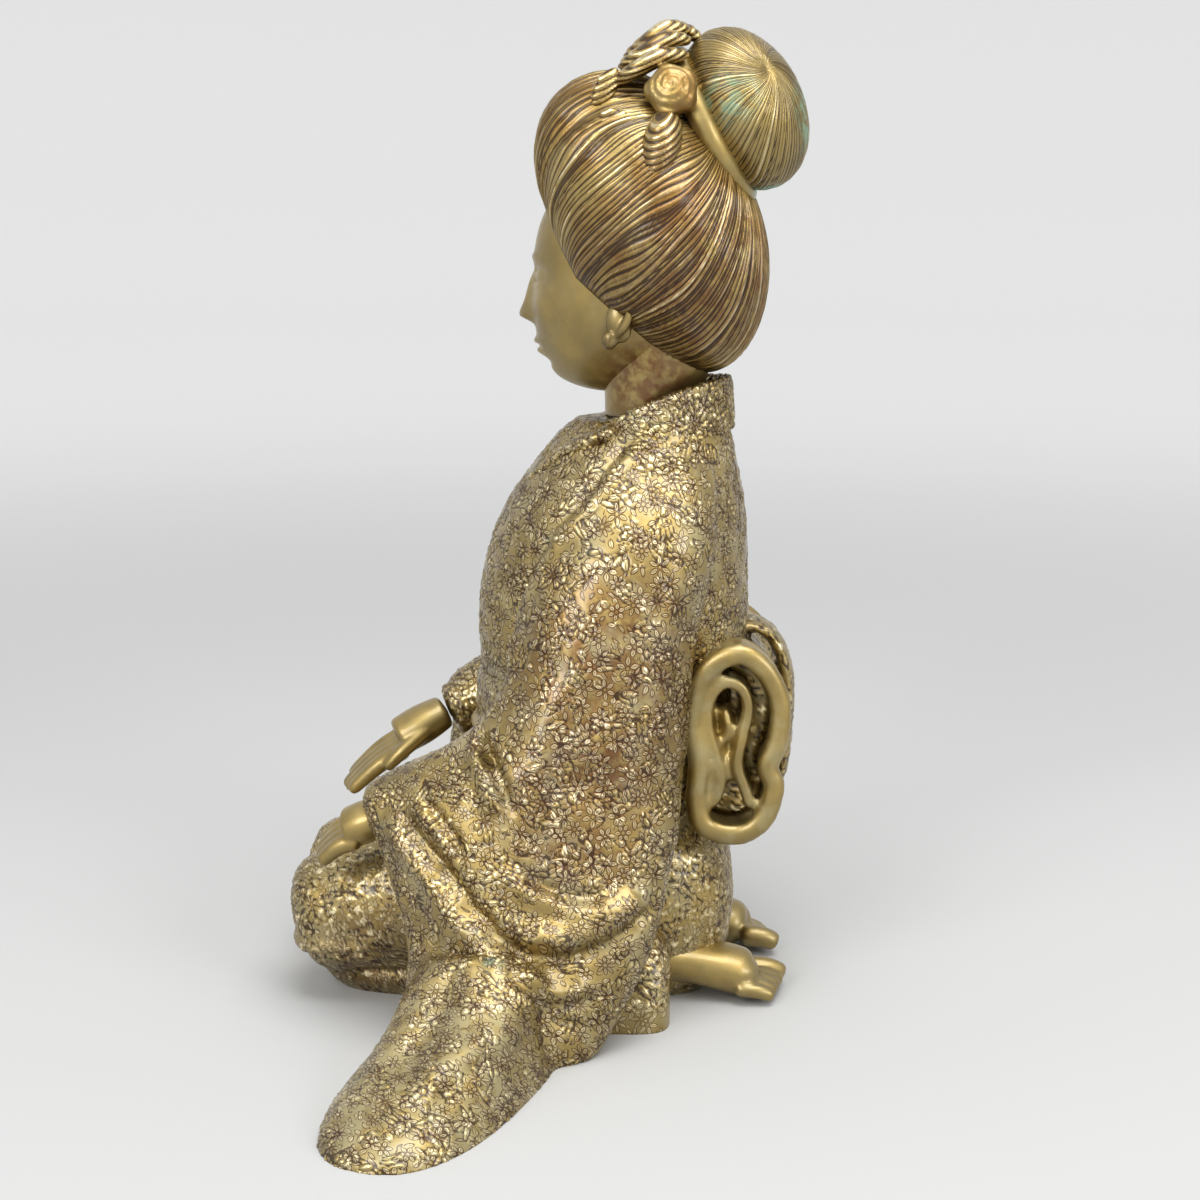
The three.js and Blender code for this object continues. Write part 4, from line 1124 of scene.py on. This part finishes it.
def makeHands():
    for name, thumb in (
        ("near", [[45, -92, 82], [43, -104, 77], [45, -111, 72]]),
        ("far", [[-24, -78, 104], [-17, -90, 94], [-15, -98, 86]]),
    ):
        bm = bmesh.new()
        addHand(bm, hands[name], thumb)
        fused = fuse(bm, 0.75, 5)
        addPiece(name + "Hand", fused, skinBronze, np.zeros(len(fused.vertices)))
    bm = bmesh.new()
    points, radii = hands["cuff"]
    addLoft(bm, 48, 40, limb(points, radii, 0.95, tip=0.1))
    fused = fuse(bm, 0.9, 3)
    spots = readSpots(fused)
    normals = readNormals(fused)
    plan = {
        "tries": 4000,
        "fill": [(("rings", "curl", "leaves"), 3.4)],
        "stemSpacing": 16,
        "flowers": [(("rings",), 6)],
    }
    height = castRelief(spots, normals, finder(spots), plan, 9)
    writeSpots(fused, spots + normals * (height * 0.5)[:, None])
    addPiece("farCuff", fused, skirtBronze, height, (0, 95))


# feet, soles up, and the corner of the under-robe

feet = {
    "reach": {1: 77, -1: 76},
}


def makeFeet():
    for side, name in ((1, "nearFoot"), (-1, "farFoot")):
        reach = feet["reach"][side]
        x = side * 30
        bm = bmesh.new()
        sole = [[x - side * 2, 14, 17], [x, 34, 16], [x, 50, 13.5], [x, reach - 13, 9.5]]
        addLoft(bm, 40, 40, limb(sole, [14, 11.5, 12.5, 12.5], 0.8, tip=0.18))
        addLoft(bm, 24, 16, ball([x - side * 1, 20, 19], [11, 12, 12]))
        addLoft(bm, 24, 16, ball([x + side * 3, reach - 18, 12], [9, 8, 7.5]))
        for toe in range(5):
            size = (3.3, 3.5, 3.7, 3.9, 5.0)[toe]
            across = x + side * (11 - toe * 5.2 - (1 if toe == 4 else 0))
            out = reach - 7 + toe * 1.4
            line = [[across, out - 14, size + 4], [across, out - 4, size + 3], [across, out + 3, size + 0.5]]
            addLoft(bm, 16, 20, limb(line, [size, size * 0.98, size * 0.8], tip=0.2))
        fused = fuse(bm, 1.0, 5)
        bm = bmesh.new()
        bm.from_mesh(fused)
        cutAtFloor(bm)
        bm.to_mesh(fused)
        bm.free()
        addPiece(name, fused, skinBronze, np.zeros(len(fused.vertices)))


hem = {
    "near": [
        {"z": -4, "x": 56, "y": 8, "wide": 18, "deep": 21, "square": 0.55},
        {"z": 12, "x": 54, "y": 9, "wide": 18, "deep": 20, "square": 0.55},
        {"z": 26, "x": 51, "y": 9, "wide": 16, "deep": 20, "square": 0.6},
        {"z": 36, "x": 48, "y": 8, "wide": 12, "deep": 16, "square": 0.8},
    ],
    "far": [
        {"z": -4, "x": -52, "y": 4, "wide": 14, "deep": 18, "square": 0.6},
        {"z": 14, "x": -50, "y": 4, "wide": 14, "deep": 18, "square": 0.6},
        {"z": 30, "x": -46, "y": 3, "wide": 10, "deep": 14, "square": 0.8},
    ],
}


def makeHem():
    bm = bmesh.new()
    for levels in hem.values():
        addLoft(bm, 48, 24, stack(levels))
    fused = fuse(bm, 1.15, 4)
    bm = bmesh.new()
    bm.from_mesh(fused)
    cutAtFloor(bm)
    bm.to_mesh(fused)
    bm.free()
    spots = readSpots(fused)
    normals = readNormals(fused)
    plan = {
        "tries": 4000,
        "fill": [(("rings", "curl", "leaves"), 4)],
        "stemSpacing": 16,
        "flowers": [(("blossom", "leaves"), 9)],
    }
    height = castRelief(spots, normals, finder(spots), plan, 10)
    height *= smoothStep((spots[:, 2] - 7) / 4)
    lifted = spots + normals * (height * 0.4)[:, None]
    lifted[:, 2] = np.where(spots[:, 2] < 0.01, 0, np.maximum(lifted[:, 2], 0))
    writeSpots(fused, lifted)
    addPiece("underRobe", fused, skirtBronze, height, (0, 95))


# neck and face, a calm oval of even proportions

head = {
    "turn": math.radians(-8), "neckY": 18,
    "faceCentre": (0, 8, 300), "faceHalf": (32, 38, 45),
    "brow": 310, "eyes": 303, "noseBase": 284, "mouth": 274, "chin": 259, "eyeApart": 12.6,
}


def turnHead(spots):
    c, s = math.cos(head["turn"]), math.sin(head["turn"])
    x = spots[:, 0]
    y = spots[:, 1] - head["neckY"]
    return np.column_stack([x * c - y * s, x * s + y * c + head["neckY"], spots[:, 2]])


def faceSkin(share, turn):
    cx, cy, cz = head["faceCentre"]
    halfX, halfY, halfZ = head["faceHalf"]
    # more columns where the features are
    around = turn - 0.55 * np.sin(turn)
    level = -np.cos(share * math.pi)
    girthX = (1 - np.abs(level) ** 2.2) ** (1 / 2.2)
    girthY = (1 - np.abs(level) ** 2.7) ** (1 / 2.7)
    jaw = np.where(level < 0, 1 - 0.26 * level ** 2, 1 - 0.04 * level ** 2)
    x = np.sin(around) * girthX * halfX * jaw
    y = -np.cos(around) * girthY * halfY
    z = level * halfZ + cz
    front = smoothStep((np.cos(around) - 0.05) / 0.35)

    def bump(atX, atZ, wide, high):
        return hill((x - atX) / wide) * hill((z - atZ) / high)

    def both(atX, atZ, wide, high):
        return bump(atX, atZ, wide, high) + bump(-atX, atZ, wide, high)

    eye = head["eyes"]
    apart = head["eyeApart"]
    base = head["noseBase"]
    mouth = head["mouth"]
    out = 1.2 * both(11, head["brow"], 8, 3.2)
    out -= 3.4 * both(apart, eye, 8, 5.5)
    out -= 1.6 * bump(0, head["brow"] - 3, 3.6, 4)
    # eyeball under a lowered lid
    out += 2.9 * both(apart, eye - 0.6, 6.2, 4.0)
    sideways = (np.abs(x) - apart) / 6.6
    lidLine = eye - 2.4 + 1.0 * sideways ** 2
    creaseLine = eye + 3.4 - 1.6 * sideways ** 2
    overEye = smoothStep((1.15 - np.abs(sideways)) / 0.4)
    out -= 1.0 * hill((z - lidLine) / 0.7) * overEye
    out += 0.45 * hill((z - lidLine + 1.6) / 0.9) * overEye
    out -= 0.7 * hill((z - creaseLine) / 0.7) * overEye
    browLine = head["brow"] + 1.6 - 2.2 * ((np.abs(x) - 11) / 9) ** 2
    out += 0.4 * hill((z - browLine) / 1.0) * smoothStep((9 - np.abs(np.abs(x) - 11.5)) / 3)
    # nose
    rise = np.clip((head["brow"] - z) / (head["brow"] - base - 3), 0, 1)
    ridge = (1.2 + 4.6 * rise ** 1.2) * smoothStep((z - base + 1.5) / 4.0)
    ridge = ridge * smoothStep((head["brow"] + 5 - z) / 9)
    out += ridge * hill(x / (3.6 + 2.4 * rise))
    out += 1.3 * bump(0, base + 3.6, 5.0, 4.0)
    out += 1.8 * both(5.4, base + 2.4, 2.8, 2.8)
    out -= 1.2 * both(2.5, base - 0.8, 1.3, 1.1)
    # mouth
    out += 1.6 * bump(0, mouth, 12, 7)
    out -= 0.8 * bump(0, base - 4.6, 1.4, 2.8)
    upper = mouth + 1.9 - 0.5 * hill(x / 1.6) + 0.3 * hill((np.abs(x) - 3) / 2)
    out += 1.7 * hill((z - upper) / 1.5) * hill(x / 7.2)
    out -= 1.5 * hill((z - mouth - 0.012 * x ** 2 * 0.5) / 0.65) * smoothStep((9.6 - np.abs(x)) / 2.5)
    out += 2.0 * hill((z - mouth + 2.4) / 1.8) * hill(x / 6.0)
    out -= 1.3 * bump(0, mouth - 6.4, 7, 2.0)
    out += 2.6 * bump(0, head["chin"] + 2, 8, 5.5)
    out += 1.4 * both(17, base + 4, 8, 8)
    return np.column_stack([cx + x, cy + y - out * front, z])


def makeFace():
    bm = bmesh.new()
    addLoft(bm, 190, 130, faceSkin)
    mesh = bpy.data.meshes.new("face")
    bmesh.ops.recalc_face_normals(bm, faces=bm.faces)
    bm.to_mesh(mesh)
    bm.free()
    writeSpots(mesh, turnHead(readSpots(mesh)))
    addPiece("face", mesh, skinBronze, np.zeros(len(mesh.vertices)))
    bm = bmesh.new()
    addLoft(bm, 72, 60, limb([[0, 22, 218], [0, 20, 250], [0, 26, 304]], [24, 20, 30], tip=0.06))
    mesh = bpy.data.meshes.new("neck")
    bmesh.ops.recalc_face_normals(bm, faces=bm.faces)
    bm.to_mesh(mesh)
    bm.free()
    addPiece("neck", mesh, skinBronze, np.zeros(len(mesh.vertices)))
    bm = bmesh.new()
    for side in (-1, 1):
        addLoft(bm, 24, 16, ball([side * 32, 11, 285], [3.2, 5.2, 8], turnX=0.2))
        shell = [[33, 8, 279], [35, 13, 283], [36, 16, 290], [36, 12, 296], [34, 7, 294]]
        rim = [[side * x, y, z] for x, y, z in shell]
        addLoft(bm, 12, 40, limb(rim, [1.6, 1.7, 1.7, 1.6, 1.4]))
        addLoft(bm, 20, 14, ball([side * 33.5, 7.5, 278.5], [2.6, 3.4, 4.0]))
    fused = fuse(bm, 0.6, 3)
    writeSpots(fused, turnHead(readSpots(fused)))
    addPiece("ears", fused, skinBronze, np.zeros(len(fused.vertices)))


# hair combed from the hairline back to the knot

hair = {
    "halfWidth": 62, "strands": 160, "deep": 1.1, "fine": 0.3,
    "lobe": math.radians(40), "part": 3.4, "heart": (0, 24, 318),
    "sides": 900, "rings": 66,
}


# profile of uneven strands round a full turn
def strandProfile(strands, seed, samples=8192):
    chance = np.random.default_rng(seed)
    widths = chance.uniform(0.55, 1.5, strands)
    edges = np.concatenate([[0], np.cumsum(widths)])
    edges /= edges[-1]
    raised = chance.uniform(0.55, 1.0, strands)
    at = np.arange(samples) / samples
    lock = np.clip(np.searchsorted(edges, at, side="right") - 1, 0, strands - 1)
    within = (at - edges[lock]) / (edges[lock + 1] - edges[lock])
    dome = 1 - np.abs(2 * within - 1) ** 2.6
    split = chance.uniform(0.35, 0.65, strands)[lock]
    furrow = 0.45 * hill((within - split) / 0.09) * (chance.random(strands)[lock] < 0.7)
    return dome * raised[lock] - furrow


def readProfile(profile, turn):
    place = (turn / fullTurn) % 1 * len(profile)
    low = place.astype(int) % len(profile)
    part = place - np.floor(place)
    return profile[low] * (1 - part) + profile[(low + 1) % len(profile)] * part


def hairForm(share, turn):
    s, c = np.sin(turn), np.cos(turn)
    top, low, side = np.maximum(c, 0), np.maximum(-c, 0), 1 - np.abs(c)
    blend = lambda a, b, d: a * top + b * low + d * side
    start = np.column_stack([34 * s, blend(-25, 34, -6), blend(337, 266, 303)])
    early = np.column_stack([hair["halfWidth"] * s, blend(-38, 58, 2), blend(376, 254, 318)])
    late = np.column_stack([hair["halfWidth"] * s, blend(0, 80, 50), blend(401, 296, 338)])
    end = np.column_stack([22 * s, blend(36, 60, 48), blend(372, 338, 355)])
    t = share[:, None]
    return start * (1 - t) ** 3 + early * 3 * t * (1 - t) ** 2 + late * 3 * t ** 2 * (1 - t) + end * t ** 3


def makeHair():
    profile = strandProfile(hair["strands"], 3)
    stored = {}

    def place(share, turn):
        inner = np.clip((share - 0.02) / 0.96, 0, 1)
        spots = hairForm(inner, turn)
        out = spots - np.array(hair["heart"], float)
        out /= np.maximum(lengths(out), 1e-6)
        drift = 0.02 * np.sin(inner * 5 + 3 * np.sin(turn * 4))
        drift = drift + 0.012 * np.sin(inner * 11 + 7 * np.sin(turn * 3 + 1))
        strand = readProfile(profile, turn + drift)
        fine = readProfile(profile, turn * 3 + drift * 2 + 0.4)
        body = smoothStep(inner / 0.05) * smoothStep((1 - inner) / 0.04)
        turned = np.abs((turn + math.pi) % fullTurn - math.pi)
        part = hill((turned - hair["lobe"]) / 0.07) * hair["part"]
        inLobe = smoothStep((hair["lobe"] - turned) / 0.12) * 1.4
        swell = np.sin(math.pi * inner) ** 0.6
        lift = body * (hair["deep"] * (strand - 0.6) + hair["fine"] * (fine - 0.6)) + swell * (inLobe - part)
        stored["relief"] = np.where(body > 0.5, (strand - 0.62) * 2.2 + (fine - 0.6) * 0.5, -0.5)
        closed = np.where((share < 1e-4) | (share > 1 - 1e-4), 0, 1)[:, None]
        pole = np.where((share < 0.5)[:, None], [[0, 4, 302]], [[0, 50, 356]])
        return pole * (1 - closed) + (spots + out * lift[:, None]) * closed

    bm = bmesh.new()
    addLoft(bm, hair["sides"], hair["rings"], place)
    mesh = bpy.data.meshes.new("hair")
    bmesh.ops.recalc_face_normals(bm, faces=bm.faces)
    bm.to_mesh(mesh)
    bm.free()
    writeSpots(mesh, turnHead(readSpots(mesh)))
    addPiece("hair", mesh, hairBronze, stored["relief"])


# knot: strands spread from a whorl over a leaning dome, on a rolled rim

knot = {
    "centre": (0, 57, 370), "tilt": math.radians(27), "half": (31, 24, 34),
    "whorl": (0.56, 0.61, 0.21), "strands": 92, "deep": 0.55, "rim": 5.2,
}


def makeKnot():
    profile = strandProfile(knot["strands"], 17)
    axis = np.array(knot["whorl"])
    axis /= np.sqrt(axis @ axis)
    first = np.cross(axis, (0, 0, 1))
    first /= np.sqrt(first @ first)
    second = np.cross(axis, first)
    tilt = np.array(Matrix.Rotation(knot["tilt"], 3, "X"))
    stored = {}

    def place(share, turn):
        polar = share * math.pi
        spun = turn + 0.9 * np.exp(-polar / 0.35)
        unit = np.cos(polar)[:, None] * axis
        sideways = np.cos(spun)[:, None] * first + np.sin(spun)[:, None] * second
        unit = unit + np.sin(polar)[:, None] * sideways
        drift = 0.03 * np.sin(polar * 2.5 + 2 * np.sin(turn * 3))
        strand = readProfile(profile, turn + drift)
        body = smoothStep(polar / 0.18)
        lift = knot["deep"] * (strand - 0.6) * body - 1.6 * hill(polar / 0.07)
        stored["relief"] = (strand - 0.62) * 1.8 * body
        spots = unit * np.array(knot["half"]) * (1 + lift / 30)[:, None]
        return np.array(knot["centre"]) + spots @ tilt.T

    bm = bmesh.new()
    addLoft(bm, 480, 56, place)
    mesh = bpy.data.meshes.new("knot")
    bmesh.ops.recalc_face_normals(bm, faces=bm.faces)
    bm.to_mesh(mesh)
    bm.free()
    writeSpots(mesh, turnHead(readSpots(mesh)))
    addPiece("knot", mesh, knotBronze, stored["relief"])

    halfX, halfY, halfZ = knot["half"]
    line = []
    for step in range(34):
        turn = step / 32 * fullTurn
        spot = np.array([halfX * 0.86 * math.cos(turn), -halfY * 0.62, halfZ * 0.88 * math.sin(turn)])
        line.append(np.array(knot["centre"]) + tilt @ spot)
    bm = bmesh.new()
    addLoft(bm, 32, 200, limb(line, [knot["rim"]] * 34, tip=0.001, up=tilt @ np.array([0, 1, 0])))
    fused = fuse(bm, 1.1, 3)
    writeSpots(fused, turnHead(readSpots(fused)))
    addPiece("knotRim", fused, knotBronze, np.zeros(len(fused.vertices)))


# flowers between the front hair and the knot

flowers = {
    "curls": [
        [[12, 10, 388], [16, 18, 394], [12, 27, 401], [8, 36, 400]],
        [[20, 9, 385], [22, 18, 390], [18, 28, 396], [14, 37, 396]],
        [[26, 9, 379], [28, 17, 384], [25, 27, 389], [20, 37, 390]],
        [[2, 14, 391], [4, 22, 397], [3, 31, 401], [4, 40, 397]],
        [[-22, 18, 378], [-20, 26, 384], [-14, 36, 386]],
    ],
    "rose": {"centre": (32, 32, 375.5), "radius": 10.5},
    "leaves": [
        {"centre": (37, 13, 363), "half": (2.4, 9.5, 5), "turnX": -0.35, "turnZ": 0.25},
        {"centre": (29, 5, 377), "half": (2.4, 4.6, 9), "turnX": -0.5, "turnZ": 0.4},
        {"centre": (-28, 24, 372), "half": (3, 9, 6), "turnX": -0.4, "turnZ": -0.3},
    ],
    "stem": [[36, 8, 358], [38, 3, 354], [37, -1, 352]],
    "bud": ([[37, 31, 366], [42, 30, 357], [45, 28, 348], [46, 27, 340]], [5, 7.4, 6, 2]),
}


def makeFlowers():
    bm = bmesh.new()
    for path in flowers["curls"]:
        ends = [3.0] + [4.6] * (len(path) - 2) + [3.0]
        addLoft(bm, 48, 60, limb(path, ends, 0.7, tip=0.2))
    for leaf in flowers["leaves"]:
        addLoft(bm, 48, 40, ball(leaf["centre"], leaf["half"], leaf["turnX"], leaf["turnZ"]))
    addLoft(bm, 16, 30, limb(flowers["stem"], [1.6, 1.5, 1.1]))
    points, radii = flowers["bud"]
    addLoft(bm, 64, 60, limb(points, radii, tip=0.1))
    rose = flowers["rose"]
    centre = np.array(rose["centre"])
    outward = np.array([0.93, 0.05, 0.36])
    outward /= np.sqrt(outward @ outward)
    side = np.cross(outward, (0, 0, 1))
    side /= np.sqrt(side @ side)
    upward = np.cross(side, outward)

    def bloom(share, turn):
        polar = share * math.pi
        far = np.sin(polar) * rose["radius"] * (1 + 0.07 * np.cos(turn * 5))
        dome = -np.cos(polar) * 6.5
        wind = (far / 2.6 - turn / fullTurn) % 1
        ridge = np.where(polar > math.pi * 0.45, 1.7 * (1 - wind) ** 0.8, 0)
        ridge = ridge * smoothStep((far - 0.2) / 1.0)
        level = np.cos(turn)[:, None] * side + np.sin(turn)[:, None] * upward
        return centre + far[:, None] * level + (dome + ridge)[:, None] * outward

    addLoft(bm, 120, 100, bloom)
    fused = fuse(bm, 0.75, 2)
    spots = readSpots(fused)
    normals = readNormals(fused)
    # ribs along the curls and the bud
    phase = spots[:, 2] * 1.6 + spots[:, 0] * 1.1 - spots[:, 1] * 0.4
    away = np.sqrt(((spots - centre) ** 2).sum(1))
    ribbed = smoothStep((away - 11) / 2)
    ribs = np.cos(phase * 1.4) * ribbed
    writeSpots(fused, turnHead(spots + normals * (0.35 * ribs)[:, None]))
    addPiece("hairFlowers", fused, hairBronze, ribs * 0.8)


makeSkirt()
makeCollar()
makeSash()
makeBow()
makeHands()
makeFeet()
makeHem()
makeFace()
makeHair()
makeKnot()
makeFlowers()


# camera, floor and light

view = {
    "place": (849.48, 27.66, 330),
    "side": math.radians(2),      # the camera stands this far behind the figure's left side
    "down": math.radians(10.92),
    "lens": 2024,                 # in pixels of a picture 1200 wide
    "picture": 1200,
    "sensor": 36,
}


def addCamera():
    data = bpy.data.cameras.new("view")
    data.sensor_width = view["sensor"]
    data.lens = view["sensor"] * view["lens"] / view["picture"]
    camera = bpy.data.objects.new("view", data)
    bpy.context.scene.collection.objects.link(camera)
    flat = math.cos(view["down"])
    ahead = Vector((-math.cos(view["side"]) * flat, -math.sin(view["side"]) * flat, -math.sin(view["down"])))
    stand = Matrix.Translation(Vector(view["place"]) * toMetres)
    camera.matrix_world = stand @ ahead.to_track_quat("-Z", "Y").to_matrix().to_4x4()
    bpy.context.scene.camera = camera


# matt paper; it glows a little further out, where the lamps no longer reach
def paperMaterial():
    material = bpy.data.materials.new("palePaper")
    material.use_nodes = True
    tree = material.node_tree
    shader = tree.nodes["Principled BSDF"]
    shader.inputs["Base Color"].default_value = linear("#aaaaa9")
    shader.inputs["Roughness"].default_value = 0.9
    shader.inputs["Emission Color"].default_value = linear("#ffffff")
    place = addNode(tree, "TexCoord").outputs["Object"]
    far = addNode(tree, "VectorMath", {0: place}, operation="LENGTH").outputs["Value"]
    reach = {"Value": far, "From Min": 0.5, "From Max": 2.4, "To Min": 0.0, "To Max": 0.33}
    glow = addNode(tree, "MapRange", reach, interpolation_type="SMOOTHSTEP")
    tree.links.new(glow.outputs[0], shader.inputs["Emission Strength"])
    return material


# a floor that curves up into a wall all round
def addStage():
    bm = bmesh.new()
    profile = [(0, 0), (1.8, 0), (2.2, 0.03), (2.6, 0.14), (2.9, 0.35), (3.1, 0.7), (3.2, 1.2), (3.2, 2.6)]
    corners = [bm.verts.new((far, 0, high)) for far, high in profile]
    edges = [bm.edges.new(pair) for pair in zip(corners[:-1], corners[1:])]
    around = {"cent": (0, 0, 0), "axis": (0, 0, 1), "angle": fullTurn}
    bmesh.ops.spin(bm, geom=corners + edges, steps=96, use_merge=True, **around)
    bmesh.ops.remove_doubles(bm, verts=bm.verts, dist=1e-5)
    bmesh.ops.recalc_face_normals(bm, faces=bm.faces)
    bmesh.ops.reverse_faces(bm, faces=bm.faces)
    mesh = bpy.data.meshes.new("studioFloor")
    bm.to_mesh(mesh)
    bm.free()
    mesh.shade_smooth()
    floor = bpy.data.objects.new("studioFloor", mesh)
    mesh.materials.append(paperMaterial())
    bpy.context.scene.collection.objects.link(floor)


def addLight(name, spot, aim, size, power):
    data = bpy.data.lights.new(name, "AREA")
    data.shape = "DISK"
    data.size = size
    data.energy = power
    lamp = bpy.data.objects.new(name, data)
    bpy.context.scene.collection.objects.link(lamp)
    away = Vector(aim) - Vector(spot)
    lamp.matrix_world = Matrix.Translation(Vector(spot)) @ away.to_track_quat("-Z", "Y").to_matrix().to_4x4()


addCamera()
addStage()
addLight("softTop", (0.5, 0.3, 1.9), (0, 0, 0.2), 1.4, 36)
addLight("softFront", (1.6, -0.9, 1.2), (0, 0, 0.2), 1.0, 22)
addLight("softBack", (1.2, 1.3, 0.9), (0, 0, 0.2), 0.8, 12)
world = bpy.data.worlds.new("room")
bpy.context.scene.world = world
world.use_nodes = True
world.node_tree.nodes["Background"].inputs["Color"].default_value = linear("#eef0f2")
world.node_tree.nodes["Background"].inputs["Strength"].default_value = 1.0
bpy.context.scene.view_settings.view_transform = "Standard"
